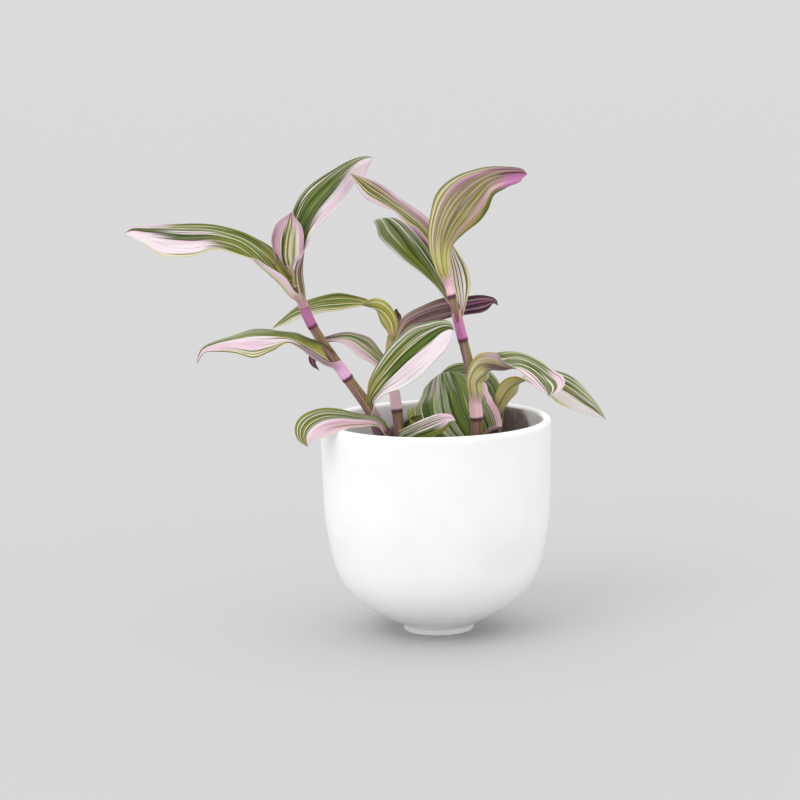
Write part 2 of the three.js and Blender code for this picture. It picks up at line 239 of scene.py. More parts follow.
pot = {
    "rimRadius": 45,
    "height": 84,
    "wall": 3.4,
    "floorHeight": 7.5,
    "foot": [(10, 0), (13.3, 0), (13.75, 0.15), (14, 0.6), (14, 2), (14.15, 2.5)],
    "outer": [(15, 3), (24, 7.5), (33, 14), (39, 22.4), (42.3, 35), (44.2, 50.5)],
    "inner": [(40.8, 50.5), (38.9, 36), (35.2, 24), (28.5, 15.2), (17, 9.3), (6, 7.5)],
    "outerSteps": 60,
    "lipSteps": 12,
    "innerSteps": 40,
    "segments": 128,
    "warp": 0.06,  # how far the fired wall is out of round, above its foot
    "warpFrom": 4,
    "warpScale": 0.03,
    "soilLine": 67,
    # a painted shadow of the leaves darkens the inner wall above the soil, as a patchy brown
    "shadowHeight": 17,  # so far above the soil, the painted leaf shadow is half gone
    "shadowFade": 1.5,  # and at so many times that it ends
    "leftShadowShare": 0.12,  # on the left, as a share of it
    "middleShadow": 0.75,
    "rightShadow": 0.9,  # how much darker the painted shadow is on the right
    "rightEnd": 1.02,
    "rightFade": 0.22,
    "shadowInside": 0.6,  # the painted shadow is within the wall's inner radius and this,
    "shadowTop": 1.2,  # this far below the lip
    "shadowFoot": 6,  # and down to this far below the soil
    "glaze": {0.3: "#f3f3f2", 0.7: "#f8f8f7"},
    # browns of the painted leaf shadow on the inner wall
    "shadowBrown": {0.3: "#5c4741", 0.55: "#7a6862", 0.75: "#9b8e89"},
    # pattern sizes
    "pools": 22,
    "shadowGrain": 4,
    "shadowPatches": 9,
    "orangePeel": 3.5,
}


def plainSpline(points, count, fineness=24):
    # evenly spaced points on a smooth outline through the given ones
    spots = [points[0], *points, points[-1]]
    dense = []
    for i in range(1, len(spots) - 2):
        for k in range(fineness):
            dense.append(tuple(eased(p1, (p2 - p0) / 2, p2, (p3 - p1) / 2, k / fineness)
                               for p0, p1, p2, p3 in zip(*spots[i - 1:i + 3])))
    dense.append(points[-1])
    lengths = [0.0]
    for a, b in zip(dense, dense[1:]):
        lengths.append(lengths[-1] + math.dist(a, b))
    spaced = []
    for k in range(count + 1):
        target = lengths[-1] * k / count
        i = stretchOf(lengths, target)
        share = (target - lengths[i]) / (lengths[i + 1] - lengths[i])
        spaced.append(tuple(lerp(a, b, share) for a, b in zip(dense[i], dense[i + 1])))
    return spaced


def turn(profile, segments, shift):
    # a closed body of revolution: the profile starts and ends on the axis, and shift moves the rest
    vertices = [Vector((0, 0, profile[0][1]))]
    faces = []
    ringed = profile[1:-1]
    for radius, height in ringed:
        for k in range(segments):
            angle = 2 * math.pi * k / segments
            vertices.append(shift(Vector((radius * math.cos(angle), radius * math.sin(angle), height))))
    vertices.append(Vector((0, 0, profile[-1][1])))
    for k in range(segments):
        n = (k + 1) % segments
        faces.append((0, 1 + n, 1 + k))
        for i in range(len(ringed) - 1):
            a = 1 + i * segments
            faces.append((a + k, a + n, a + segments + n, a + segments + k))
        a = 1 + (len(ringed) - 1) * segments
        faces.append((a + k, a + n, len(vertices) - 1))
    return vertices, faces


def innerWall(steps):
    # from the lip down to the bowl's floor
    lip = (pot["rimRadius"] - pot["wall"], pot["height"] - pot["wall"] / 2)
    return plainSpline([lip, *pot["inner"]], steps)


def potProfile():
    lipRadius = pot["wall"] / 2
    lipRing = pot["rimRadius"] - lipRadius
    lipHeight = pot["height"] - lipRadius
    angles = [math.pi * k / pot["lipSteps"] for k in range(1, pot["lipSteps"])]
    lip = [(lipRing + lipRadius * math.cos(a), lipHeight + lipRadius * math.sin(a)) for a in angles]
    outer = plainSpline([*pot["outer"], (pot["rimRadius"], lipHeight)], pot["outerSteps"])
    return [(0, 0), *pot["foot"], *outer, *lip, *innerWall(pot["innerSteps"]), (0, pot["floorHeight"])]


def glazedStoneware():
    # white gloss glaze over stoneware: thin, slightly pooled and faintly uneven where it ran,
    # with the shadow of the leaves painted as a patchy brown on the inside above the soil
    material, tree = newMaterial("glazed stoneware")
    place = addNode(tree, "TexCoord")["Object"]
    pooling = patternOn(tree, place, pot["pools"] * mm)
    glaze = addNode(tree, "ValToRGB", None, {0: pooling}, pot["glaze"])[0]
    gloss = addNode(tree, "ValToRGB", None, {0: pooling}, {0.3: 0.14, 0.7: 0.22})[0]

    # the painted leaf shadow is patchy, and thins out upward
    grain = patternOn(tree, place, pot["shadowGrain"] * mm, 4.0, 0.6)
    shadowBrown = addNode(tree, "ValToRGB", None, {0: grain}, pot["shadowBrown"])[0]
    patches = patternOn(tree, place, pot["shadowPatches"] * mm, 4.0, 0.6)
    patches = addNode(tree, "Math", scaling, {0: patches, 1: 0.5, 2: -0.25})[0]
    stainAndShadow = addNode(tree, "Attribute", {"attribute_name": "paintedLeafShadow"})["Fac"]
    shadowAmount = addNode(tree, "Math", adding, {0: stainAndShadow, 1: patches})[0]
    shadowMask = addNode(tree, "ValToRGB", None, {0: shadowAmount}, {0.15: 0, 0.8: 0.92}, "EASE")[0]
    colour = addNode(tree, "Mix", mixing, {0: shadowMask, 6: glaze, 7: shadowBrown})[2]
    rough = addNode(tree, "Mix", mixing, {0: shadowMask, 6: gloss, 7: linearColour(0.8)})[2]

    ripples = patternOn(tree, place, pot["orangePeel"] * mm, 1.0)
    bump = addNode(tree, "Bump", None, {"Strength": 0.05, "Distance": 0.0004, "Height": ripples})
    finishMaterial(tree, {"IOR": 1.5, "Base Color": colour, "Roughness": rough, "Normal": bump[0]})
    return material


def throwPot():
    def warped(spot):
        drift = noise.noise(spot * pot["warpScale"]) * pot["warp"] if spot.z > pot["warpFrom"] else 0.0
        return spot + Vector((spot.x, spot.y, 0)).normalized() * drift

    def paintedShadowAt(spot):
        # painted shadow of the leaves: most on the right, where the leaves shade the wall, but little at the
        # very side
        radius = math.hypot(spot.x, spot.y)
        isInside = radius < pot["rimRadius"] - pot["wall"] + pot["shadowInside"]
        if not isInside or not pot["soilLine"] - pot["shadowFoot"] < spot.z < pot["height"] - pot["shadowTop"]:
            return 0.0
        right = spot.x / radius
        shadeShare = smooth(pot["middleShadow"] + pot["rightShadow"] * right)
        shadeShare *= smooth((pot["rightEnd"] - right) / pot["rightFade"])
        reach = pot["shadowHeight"] * lerp(pot["leftShadowShare"], 1.0, shadeShare)
        return smooth(pot["shadowFade"] - (spot.z - pot["soilLine"]) / reach)

    vertices, faces = turn(potProfile(), pot["segments"], warped)
    # each point carries its share of the painted leaf shadow
    piece = addPiece("glazedPot", vertices, faces, [glazedStoneware()], None,
                     {"paintedLeafShadow": [paintedShadowAt(v) for v in vertices]})
    standFor(piece, "pot")


throwPot()
print("pot thrown")

stems = {
    "a": {
        "points": [(-17, -3, 52), (-18, -4, 67), (-21, -5, 78), (-25.5, -7, 89), (-34, -9, 102),
                   (-47, -11, 123), (-51, -11.5, 133), (-54, -12, 141)],
        "radius": (2.8, 1.5),
    },
    "b": {
        "points": [(-12, 6, 53), (-13, 6, 67), (-14, 7, 77), (-15, 8, 86), (-16, 8, 95), (-17, 9, 104),
                   (-17, 10, 112), (-15.5, 11, 118)],
        "radius": (2.7, 1.4),
    },
    "c": {
        "points": [(17, 0, 52), (16.5, -1, 67), (16, -2, 78), (16, -2, 84), (14, -3, 101), (11, -3, 115),
                   (7, -3, 132), (4.5, -2, 141), (3, -1, 147)],
        "radius": (2.9, 1.25),
    },
    "d": {
        "points": [(20, 17, 54), (22, 19, 68), (23.5, 21, 76), (24.5, 22, 84)],
        "radius": (1.9, 1.5),
    },
}
for stem in stems.values():
    stem["line"] = GrowthLine(stem["points"])


def stemRadius(stem, distance):
    return lerp(*stem["radius"], min(distance / stem["line"].total, 1.0))


leafColours = {
    "deep": "#38480f",
    "green": "#586b22",
    "olive": "#747829",
    "lime": "#aba74c",
    "grey": "#838c6c",
    "sage": "#6a754c",
    "pale": "#a8ad85",
    "cream": "#d6d2ae",
    "butter": "#d3cd84",
    "white": "#e6e1d8",
    "chalk": "#cfc9c7",
    "blush": "#e4d6dd",
    "pink": "#d9bdcb",
    "lilac": "#e8c8dc",
    "rose": "#cfa6b6",
    "mauve": "#a48794",
    "magenta": "#a95c98",
    "plum": "#512b43",
    "bark": "#6c5c41",
    "tan": "#ab9e72",
    "taupe": "#876f66",
}

# Each leaf hangs on the stem of its first letter, at a node so far along it, wraps the stem with a
# sheath and then follows its rib. At each point of the rib but the tip: its half widths to the left
# and right with the tip pointing up, how far it folds toward its upper side in radians, and where
# that side looks. Rows of stripes run from left edge to right at a share of the blade: a colour's
# name and its share of the width. The purple is how strongly the underside is stained, and a green
# neck is free of it up to its share of the blade. An open leaf has no sheath, a nested one has no
# ring at its node, lean says which way a sheath's mouth faces, and a rosy rib has a pink line on it.
leaves = {
    "a1": {
        "node": 16.3, "sheath": 2.5, "purple": 0.5, "sheathTint": "#b98699",
        "rib": [(-21.5, -8.5, 82.5), (-26, -13, 85.5), (-31, -17, 86.5), (-37, -20.5, 87.5),
                (-43, -23.5, 87), (-47.5, -26, 84.5), (-49, -27.5, 82), (-49, -28.5, 78.5)],
        "half": [(2.5, 3), (3, 2.5), (4, 3), (5.5, 4.5), (5.5, 6.5), (4.5, 7), (2.5, 5)],
        "fold": [0.8, 0.6, 0.6, 0.4, -0.3, -0.3, -0.3],
        "look": [(0.8, -0.5, 0.3), (0.7, -0.4, 0.6), (0.5, -0.6, 0.6), (0.4, -0.7, 0.6), (0.2, -0.8, 0.6),
                 (0.1, -0.8, 0.6), (-0.2, -0.9, 0.4)],
        "rows": {
            0.1: "cream 4, grey 10, sage 10, cream 3, rose 20, mauve 10, sage 8, olive 8",
            0.5: "cream 3, rose 14, olive 6, rose 24, pink 10, grey 7, pale 2, sage 7, deep 5, cream 2, "
                 "grey 7, deep 3, cream 2, sage 7, olive 6",
            0.92: "cream 3, pink 40, blush 6, grey 6, deep 3, cream 2, olive 7, deep 4, cream 2, sage 8, "
                  "cream 2, olive 8",
        },
    },
    "a2": {
        "node": 27.5, "sheath": 6, "lean": (0.7, -0.2, 0), "purple": 0.5, "sheathTint": "#a57d92",
        "rib": [(-25, -9, 92), (-22, -11, 97), (-16.5, -13, 103), (-9.5, -15.5, 110), (-2, -15.5, 115.5),
                (3, -14.5, 119.5), (6, -13.5, 120.5), (7.5, -13, 120)],
        "half": [(2.5, 3.5), (5, 3.5), (7.5, 6.5), (9, 8), (9.5, 6.5), (5.5, 5), (3, 2.5)],
        "fold": [1.7, 1.2, 0.4, 0.3, 0.4, 0.4, 0.3],
        "look": [(-0.3, -0.9, -0.1), (-0.3, -1, 0), (-0.4, -0.9, 0), (-0.3, -1, 0.1), (-0.1, -1, 0.3),
                 (0.1, -1, 0.3), (0.2, -0.9, 0.4)],
        "rows": {
            0.1: "lime 8, olive 6, cream 2.5, lime 8, olive 8, cream 3, green 8, olive 6, white 3, "
                 "green 6, blush 20",
            0.5: "grey 4, white 3, sage 5, cream 2, green 8, pale 2.5, olive 6, cream 2.5, deep 6, "
                 "green 9, deep 5, white 2.5, blush 40, white 6",
            0.95: "grey 5, white 3, grey 6, sage 7, white 2.5, deep 7, green 5, deep 5, white 3, "
                  "blush 36, pink 4",
        },
    },
    "a3": {
        "node": 54, "sheath": 2.5, "purple": 0.0, "sheathTint": "#e8b2d8",
        "rib": [(-42, -12, 108), (-47.5, -13, 112), (-52, -14, 115.5), (-56, -14.5, 117.5),
                (-63, -15.5, 117.5), (-69.5, -16, 117.5), (-76.5, -16, 117), (-83, -16, 116),
                (-88.5, -15.5, 114), (-91.5, -15, 109.5)],
        "half": [(5, 7), (5.5, 7), (3.5, 5), (2.5, 4), (4.5, 5), (6.5, 5), (4.5, 3.5), (2.5, 2.5),
                 (1, 1.5)],
        "fold": [2.1, 2, 1.8, 0.7, 0.2, 0, 0.2, 0.2, 0.4],
        "look": [(0.5, -0.6, 0.7), (0.5, -0.6, 0.7), (0.4, -0.6, 0.7), (0.2, -0.5, 0.8), (0.1, -0.8, 0.6),
                 (0, -0.9, 0.5), (-0.1, -0.8, 0.6), (-0.2, -0.7, 0.7), (-0.5, -0.7, 0.5)],
        "rows": {
            0.12: "mauve 6, olive 8, lime 8, cream 3, lime 12, olive 6, cream 2, lime 14, olive 5, bark 6",
            0.35: "olive 6, cream 4, olive 5, cream 6, pale 6, blush 14, bark 3, cream 2, olive 10, "
                  "green 6, deep 5, sage 6",
            0.6: "olive 3, cream 4, bark 2.5, cream 5, grey 4, pink 26, blush 14, bark 3, cream 1.5, "
                 "olive 4, grey 8, pale 3, grey 6",
            0.92: "bark 3, pink 45, blush 8, deep 4, sage 6, grey 9",
        },
        "under": {
            0.2: "mauve 8, cream 3, pink 10, taupe 4, mauve 8, cream 3, pink 8",
            0.7: "mauve 12, taupe 4, mauve 10, cream 2, mauve 12",
        },
    },
    "a4": {
        "node": 78.5, "sheath": 7, "purple": 0.45, "sheathTint": "#b26a9b",
        "rib": [(-49.5, -11, 136.5), (-50.5, -10.5, 143.5), (-50, -9.5, 150), (-49, -8.5, 157.5),
                (-45, -6, 166), (-38.5, -2, 173.5), (-31.5, 1, 181), (-26.5, 3.5, 184.5), (-22, 6, 185.5)],
        "half": [(3, 4.5), (2, 4), (2.5, 3), (6, 2.5), (8, 5.5), (7, 6), (3.5, 5), (1.5, 5.5)],
        "fold": [1.6, 1.5, 1.3, 0, 0, 0, 0, -0.4],
        "look": [(-1, 0.1, -0.1), (-1, 0.1, 0), (-0.9, -0.4, 0.1), (0, -1, 0.2), (0.3, -0.9, 0.2),
                 (0.4, -0.9, 0.1), (0.4, -0.9, 0), (0.4, -0.9, 0.1)],
        "rows": {
            0.12: "taupe 8, bark 8, cream 2, bark 12, taupe 6, cream 1.5, bark 14, cream 2, bark 8",
            0.35: "olive 4, deep 9, cream 2.5, deep 10, green 8, deep 12, green 6, deep 16, cream 1.5, "
                  "blush 22",
            0.65: "grey 4, deep 4, white 3, sage 6, green 9, deep 4, green 7, pale 2, green 6, deep 9, "
                  "sage 3, blush 20, lilac 8, blush 14",
            0.98: "sage 12, white 3, sage 6, cream 2, deep 6, grey 4, blush 46",
        },
    },
    "a5": {
        "node": 86, "sheath": 1, "nested": True, "purple": 0.0, "sheathTint": "#c4a79f",
        "rib": [(-54.5, -13.5, 134), (-59.5, -14.5, 140.5), (-65.5, -15.5, 146.5), (-73.5, -16, 154),
                (-83, -16.5, 157), (-92, -17, 157.5), (-101.5, -17, 158.5), (-109, -16.5, 159.5),
                (-114, -16.5, 160.5), (-117, -16, 160)],
        "half": [(4.5, 5.5), (4.5, 6.5), (3, 9), (4, 6), (4.5, 6), (7, 6), (7.5, 5), (4, 3.5), (2.5, 2)],
        "fold": [2.4, 2.2, 1.9, 0.3, 0.2, 0, 0, 0.1, -0.2],
        "look": [(0.8, -0.2, 0.6), (0.8, -0.1, 0.6), (0.7, -0.3, 0.7), (0.3, -0.8, 0.5), (0.1, -0.8, 0.5),
                 (0.1, -0.9, 0.4), (0, -0.9, 0.4), (0, -0.9, 0.5), (0, -0.9, 0.4)],
        "rows": {
            0.12: "blush 8, olive 10, lime 8, cream 3, olive 10, lime 6, cream 3, olive 12, deep 4, "
                  "lime 8, olive 10",
            0.42: "cream 4, lime 5, deep 10, olive 16, deep 6, cream 2, bark 3, cream 2, olive 10, "
                  "green 8, cream 3, green 8, pale 4, green 10, deep 4, olive 6",
            0.68: "cream 5, olive 3, blush 32, pink 5, deep 22, blush 3, bark 3, blush 4, sage 7, "
                  "cream 2, sage 8, cream 2, green 5, sage 3",
            0.92: "cream 5, blush 48, pink 8, deep 22, blush 6, bark 2, pink 8",
        },
        "under": {
            0.2: "pink 8, cream 6, mauve 3, blush 8, cream 6, tan 3, blush 8",
            0.7: "mauve 10, pink 6, sage 6, mauve 10, sage 6, pink 8",
        },
    },
    "a6": {
        "node": 94.5, "sheath": 1, "nested": True, "purple": 0.3, "sheathTint": "#b5a083",
        "rib": [(-54.5, -11, 141), (-55, -9.5, 145), (-56, -9.5, 149.5), (-55.5, -9.5, 155),
                (-54.5, -10, 161), (-54, -10.5, 164.5), (-53.5, -12, 166.5)],
        "half": [(2, 4.5), (6, 8.5), (7, 8.5), (8, 8), (7, 6), (3.5, 3)],
        "fold": [1.5, 2, 1.5, 1.2, 1.2, 1.2],
        "look": [(-0.5, -0.8, 0.2), (-0.7, -0.8, 0), (0.1, -1, 0), (0, -1, 0), (0, -1, -0.1),
                 (0, -0.9, -0.3)],
        "rows": {
            0.15: "mauve 20, pink 14, deep 6, cream 5, olive 6, cream 8, olive 5, pink 30",
            0.5: "mauve 14, rose 16, blush 5, deep 6, olive 5, cream 4, olive 5, cream 8, pale 4, "
                 "olive 4, cream 4, blush 8, rose 18",
            0.95: "pink 30, olive 4, cream 4, olive 4, pink 30",
        },
    },
    "b1": {
        "node": 15.5, "sheath": 2, "purple": 0.5,
        "rib": [(-13.5, -10, 78), (-8, -18, 82), (-3, -24, 85), (1.5, -28.5, 87.5), (5, -31, 89),
                (7, -33, 88.5)],
        "half": [(3, 3.5), (3, 4), (3.5, 4.5), (3, 4), (1.5, 2)],
        "fold": [0, -0.1, -0.2, -0.3, -0.4],
        "look": [(-0.8, -0.6, 0), (-0.8, -0.6, 0), (-0.8, -0.6, 0.1), (-0.7, -0.7, 0.1), (-0.6, -0.7, 0.2)],
        "rows": {
            0.3: "cream 2, sage 8, cream 1.5, grey 7, cream 2, deep 6, sage 6, cream 2, deep 7, olive 10",
            0.7: "blush 6, sage 4, pink 4, grey 5, cream 3, deep 4, pink 5, sage 5, white 4, sage 6, "
                 "deep 5, olive 14",
            1.0: "pink 20, mauve 3, pink 16, blush 6, mauve 4, olive 8",
        },
    },
    "b2": {
        "node": 22.5, "open": True, "purple": 0.5,
        "rib": [(-13, 9, 76.5), (-10, 7, 79.5), (-7, 5, 82.5), (-5.5, 4, 84.5)],
        "half": [(1.5, 2), (2.5, 3), (2, 2.5)],
        "fold": [0.8, 0, 0],
        "look": [(-0.5, -0.9, -0.1), (-0.6, -0.8, 0), (-0.6, -0.8, 0)],
        "rows": {
            0.5: "deep 20, olive 6, deep 12, olive 4, deep 16",
        },
    },
    "b3": {
        "node": 33.2, "sheath": 6, "purple": 0.9, "sheathTint": "#eac4ce",
        "rib": [(-19, 6, 101.5), (-21.5, 5.5, 105.5), (-27.5, 5, 111), (-32.5, 4, 114.5), (-38, 3.5, 115),
                (-44, 2.5, 114), (-47, 2, 110.5), (-47.5, 2, 106.5), (-45, 2, 103)],
        "half": [(2.5, 3.5), (4, 3.5), (5.5, 5.5), (4, 4), (2.5, 3.5), (2, 2.5), (2, 1.5), (1.5, 1.5)],
        "fold": [1.2, 0.5, 0.4, 0.1, 0.2, 0.3, 0, -0.3],
        "look": [(0.8, -0.3, 0.5), (0.7, -0.6, 0.5), (0.5, -0.7, 0.5), (0.4, -0.6, 0.7), (0, -0.4, 0.9),
                 (-0.4, -0.4, 0.8), (-0.6, -0.8, 0.3), (-0.6, -0.8, -0.1)],
        "rows": {
            0.1: "cream 3, pink 10, sage 6, cream 3, deep 5, olive 8, cream 2, olive 8, sage 6",
            0.5: "white 3, pink 30, cream 3, sage 5, cream 2, mauve 3, cream 2, sage 8, deep 4, cream 2, "
                 "grey 8, mauve 4",
            0.78: "plum 14, mauve 8, plum 14",
            0.9: "plum 20, magenta 4, plum 20",
        },
    },
    "b4": {
        "node": 50, "sheath": 2.5, "purple": 0.0, "rosyRib": True, "sheathTint": "#b08e88",
        "rib": [(-13.5, 8, 115), (-10.5, 8.5, 120), (-5, 9.5, 123), (4, 10.5, 125.5), (14, 11.5, 127),
                (20, 12, 128), (24, 12.5, 128), (25.5, 12.5, 126)],
        "half": [(2.5, 2.5), (4, 3), (5, 3.5), (5, 4.5), (5, 4), (4.5, 2.5), (1.5, 1)],
        "fold": [0.8, 0.5, 0.3, 0.1, 0, -0.1, -0.4],
        "look": [(-0.1, 1, -0.1), (-0.3, 1, 0.1), (-0.2, 0.9, 0.3), (-0.2, 0.9, 0.4), (-0.2, 0.9, 0.5),
                 (-0.1, 0.9, 0.4), (0.1, 0.9, 0.4)],
        "rows": {
            0.5: "deep 20, olive 6, pink 4, green 20, cream 4, deep 20",
        },
        "under": {
            0.08: "lime 8, tan 6, taupe 8, lime 5, taupe 10",
            0.4: "taupe 9, mauve 6, taupe 7, bark 4, taupe 8, mauve 5, taupe 9",
            0.85: "plum 8, mauve 4, plum 8, magenta 2, plum 6, mauve 4, plum 9",
        },
    },
    "b5": {
        "node": 56.5, "sheath": 1.5, "nested": True, "purple": 0.1, "greenNeck": 0.3, "sheathTint": "#b0a66f",
        "rib": [(-16, 7.5, 116), (-17, 7, 121.5), (-20.5, 6.5, 126), (-24.5, 6.5, 127.5), (-28.5, 7, 128.5),
                (-37, 7.5, 128.5), (-46, 8, 127.5), (-54.5, 8, 124.5), (-59.5, 7.5, 121.5),
                (-63, 7, 119.5)],
        "half": [(2.5, 2.5), (3, 4), (4, 4), (4, 3.5), (2.5, 3), (3.5, 4.5), (3.5, 4), (3, 2.5),
                 (1.5, 1.5)],
        "fold": [1.3, 0.8, 1, 1.5, 0.7, 0.3, 0.2, 0, -0.2],
        "look": [(0, 1, 0.1), (-0.1, 1, 0.1), (0.1, 0.9, 0.5), (0, 0.4, 0.9), (0, -0.5, 0.9),
                 (-0.1, -0.8, 0.6), (-0.2, -0.7, 0.7), (-0.3, -0.7, 0.7), (-0.3, -0.7, 0.7)],
        "rows": {
            0.25: "lime 8, cream 3, lime 8, olive 3, butter 5, lime 8, cream 2.5, lime 8, olive 3",
            0.45: "cream 5, olive 4, cream 4, olive 8, green 8, cream 3, olive 8, green 8, cream 2, "
                  "olive 8, deep 4, olive 4",
            0.95: "cream 6, blush 5, olive 3, cream 5, green 8, sage 6, cream 3, olive 8, green 8, "
                  "cream 2, olive 5",
        },
    },
    "b6": {
        "node": 61, "sheath": 1, "nested": True, "purple": 1.0, "sheathTint": "#6a4458",
        "rib": [(-14, 11.5, 120), (-14.5, 12, 123), (-14.5, 12, 125.5)],
        "half": [(1, 1.5), (1.5, 2)],
        "fold": [1, 0.9],
        "look": [(0.1, -1, 0.2), (0.1, -1, 0.1)],
        "rows": {
            0.5: "plum 20, bark 8, plum 20",
        },
    },
    "c1": {
        "node": 15.5, "sheath": 2.5, "purple": 0.6,
        "rib": [(14.5, 4, 74), (13, 6, 78.5), (10, 11, 84.5), (8, 18, 90.5), (6, 26, 94.5), (5, 31, 97),
                (4.5, 34, 95.5), (5, 36.5, 92.5)],
        "half": [(9, 11.5), (19.5, 13.5), (21, 13.5), (18.5, 14.5), (12.5, 15), (8, 11.5), (5, 5.5)],
        "fold": [0.6, 0.4, 0.2, -0.4, -0.7, -0.9, -0.9],
        "look": [(0, -0.9, 0.4), (0, -0.8, 0.5), (0, -0.7, 0.7), (0, -0.6, 0.8), (-0.1, -0.5, 0.9),
                 (-0.1, -0.1, 1), (0, 0.2, 1)],
        "rows": {
            0.35: "olive 7, bark 2, sage 5, pale 1, deep 8, green 4, pale 1, grey 7, deep 2, grey 5, "
                  "pale 0.8, deep 3, green 6, deep 5, green 14, deep 5, pale 0.7, deep 5, sage 5, deep 3, "
                  "sage 5, rose 9",
            0.9: "mauve 3, sage 4, pale 1.5, sage 5, deep 3, pale 1.5, mauve 3, sage 4, mauve 3, grey 5, "
                 "deep 3, sage 5, deep 2, grey 4, deep 5, green 8, deep 2, sage 6, rose 3, sage 8, rose 9",
        },
    },
    "c2": {
        "node": 32.1, "sheath": 3.5, "purple": 0.0, "sheathTint": "#fdcfd4",
        "rib": [(15.5, -6, 93.5), (15, -8, 99), (17.5, -9.5, 102.5), (21.5, -10.5, 104.5),
                (26, -11.5, 104.5), (32, -12.5, 105.5), (37, -13, 103.5), (41, -13.5, 99.5),
                (43, -14, 96.5), (43.5, -14.5, 94)],
        "half": [(4, 3), (4, 3.5), (5.5, 6), (8, 9), (9, 8), (7.5, 5), (6.5, 5), (7, 4), (7.5, 2.5)],
        "fold": [0.8, 0.9, 0.9, 2, 1.8, 0.6, 0.1, 0.5, 0.6],
        "look": [(0, 1, 0.2), (-0.1, 1, 0.3), (-0.1, 0.9, 0.4), (-0.1, 0.2, 1), (0.1, 0, 1),
                 (0.1, -0.4, 0.9), (0.4, -0.7, 0.7), (0.4, -0.8, 0.5), (0.4, -0.9, 0.3)],
        "rows": {
            0.2: "lime 12, olive 5, lime 6, tan 8, mauve 3, tan 8, lime 10, olive 6",
            0.45: "pale 4, sage 6, cream 2, sage 6, grey 8, cream 1.5, sage 7, white 4, olive 5, deep 4, "
                  "cream 3, sage 6, cream 6, white 5",
            0.72: "pale 3, sage 6, grey 6, cream 1.5, sage 8, deep 4, cream 2, sage 7, deep 4, white 5, "
                  "olive 4, lilac 8, white 4, olive 3, lilac 8",
            1.0: "lilac 12, sage 5, white 3, sage 8, deep 4, white 4, sage 5, lilac 14",
        },
        "under": {
            0.3: "cream 6, butter 8, tan 4, cream 5, butter 6, tan 4, cream 4, lime 5",
            0.46: "mauve 8, plum 4, taupe 8, mauve 8, taupe 6, tan 4, mauve 6",
        },
    },
    "c3": {
        "node": 63.5, "sheath": 7, "purple": 0.5, "sheathTint": "#c67aaa",
        "rib": [(8.5, 0.5, 127), (6, 2, 130.5), (2.5, 3.5, 136), (-1, 5, 142), (-5.5, 7, 148),
                (-9.5, 9, 153.5), (-13.5, 11.5, 158.5), (-17, 14.5, 161), (-17.5, 17, 160.5)],
        "half": [(3, 3.5), (3, 3), (4, 3.5), (5.5, 4.5), (7.5, 6), (9, 5.5), (10, 4), (6.5, 3.5)],
        "fold": [1.9, 1.5, 1.1, 0.7, 0.3, 0.3, 0.2, -0.2],
        "look": [(0.2, -0.9, 0.3), (0.3, -0.9, 0.4), (0.3, -0.8, 0.4), (0.3, -0.9, 0.4), (0.2, -0.9, 0.4),
                 (0.2, -0.9, 0.5), (0.1, -0.7, 0.7), (0, -0.1, 1)],
        "rows": {
            0.1: "blush 3, sage 6, lime 4, olive 4, cream 2, sage 6, lime 4, olive 4, deep 3, pink 4",
            0.5: "blush 3, grey 5, green 12, olive 8, deep 5, green 7, sage 6, deep 4, white 2.5, deep 6, "
                 "sage 6, grey 5, deep 4, magenta 5, rose 4",
            0.95: "grey 4, sage 10, pale 3, sage 6, deep 4, sage 6, white 3, deep 5, grey 8, blush 5, "
                  "rose 8",
        },
    },
    "c4": {
        "node": 81, "sheath": 1.5, "purple": 0.06, "sheathTint": "#f0bfca",
        "rib": [(3.5, -8.5, 144), (3, -9.5, 152), (5, -9.5, 160), (9, -8.5, 167), (14.5, -7, 173),
                (20.5, -5.5, 177), (26.5, -4.5, 179), (34.5, -4, 179.3), (36.5, -4, 178.5)],
        "half": [(3, 3.5), (5, 5), (8.5, 7.5), (11, 9.5), (10.5, 8.5), (7, 5.5), (7, 3.2), (4.5, 1.5)],
        "fold": [1, 0.8, 0.8, 0.6, 0.6, 0.2, -0.1, -0.4],
        "look": [(0, 1, 0.1), (0, 1, 0.1), (0, 1, -0.1), (0, 1, -0.2), (0, 1, -0.2), (0, 0.9, -0.5),
                 (0, 0.8, -0.6), (-0.1, 0.8, -0.6)],
        "rows": {
            0.1: "butter 9, lime 4, butter 6, lime 4, olive 1.5, butter 8, lime 5, cream 1.5, butter 8",
            0.4: "olive 4, lime 3, tan 5, rose 4, tan 4, olive 3, tan 5, olive 3, tan 4, olive 3, "
                 "taupe 3, tan 5, olive 3, tan 4, taupe 3, tan 4, olive 3, mauve 4, tan 3, cream 1.5, "
                 "tan 3, olive 3, cream 4, lime 3, olive 3",
            0.7: "green 5, olive 3, tan 3, rose 5, tan 4, taupe 3, tan 4, olive 3, taupe 5, tan 3, "
                 "olive 2, taupe 5, tan 3, taupe 6, olive 2, taupe 4, magenta 3, mauve 5, tan 3, taupe 3, "
                 "cream 1.5, olive 3, sage 3",
            0.97: "magenta 24, plum 5, taupe 5, tan 2, taupe 4, plum 6, mauve 4, plum 5",
        },
    },
    "c5": {
        "node": 90.5, "sheath": 1, "nested": True, "purple": 0.2, "sheathTint": "#b3a776",
        "rib": [(1.5, 1.5, 147.5), (0, 2, 152), (-4.5, 1.5, 158.5), (-9.5, 0.5, 163), (-14.5, -1, 167),
                (-19.5, -3, 171), (-24, -5, 174.5), (-27.5, -6.5, 177.5), (-31, -8, 180.5)],
        "half": [(2, 3), (2, 2.5), (2.5, 4.5), (3, 4.5), (3.5, 4), (4, 4), (4.5, 3.5), (2.5, 2)],
        "fold": [1.6, 0.9, 0.8, 0.5, 0.7, 0.5, 0.5, 0],
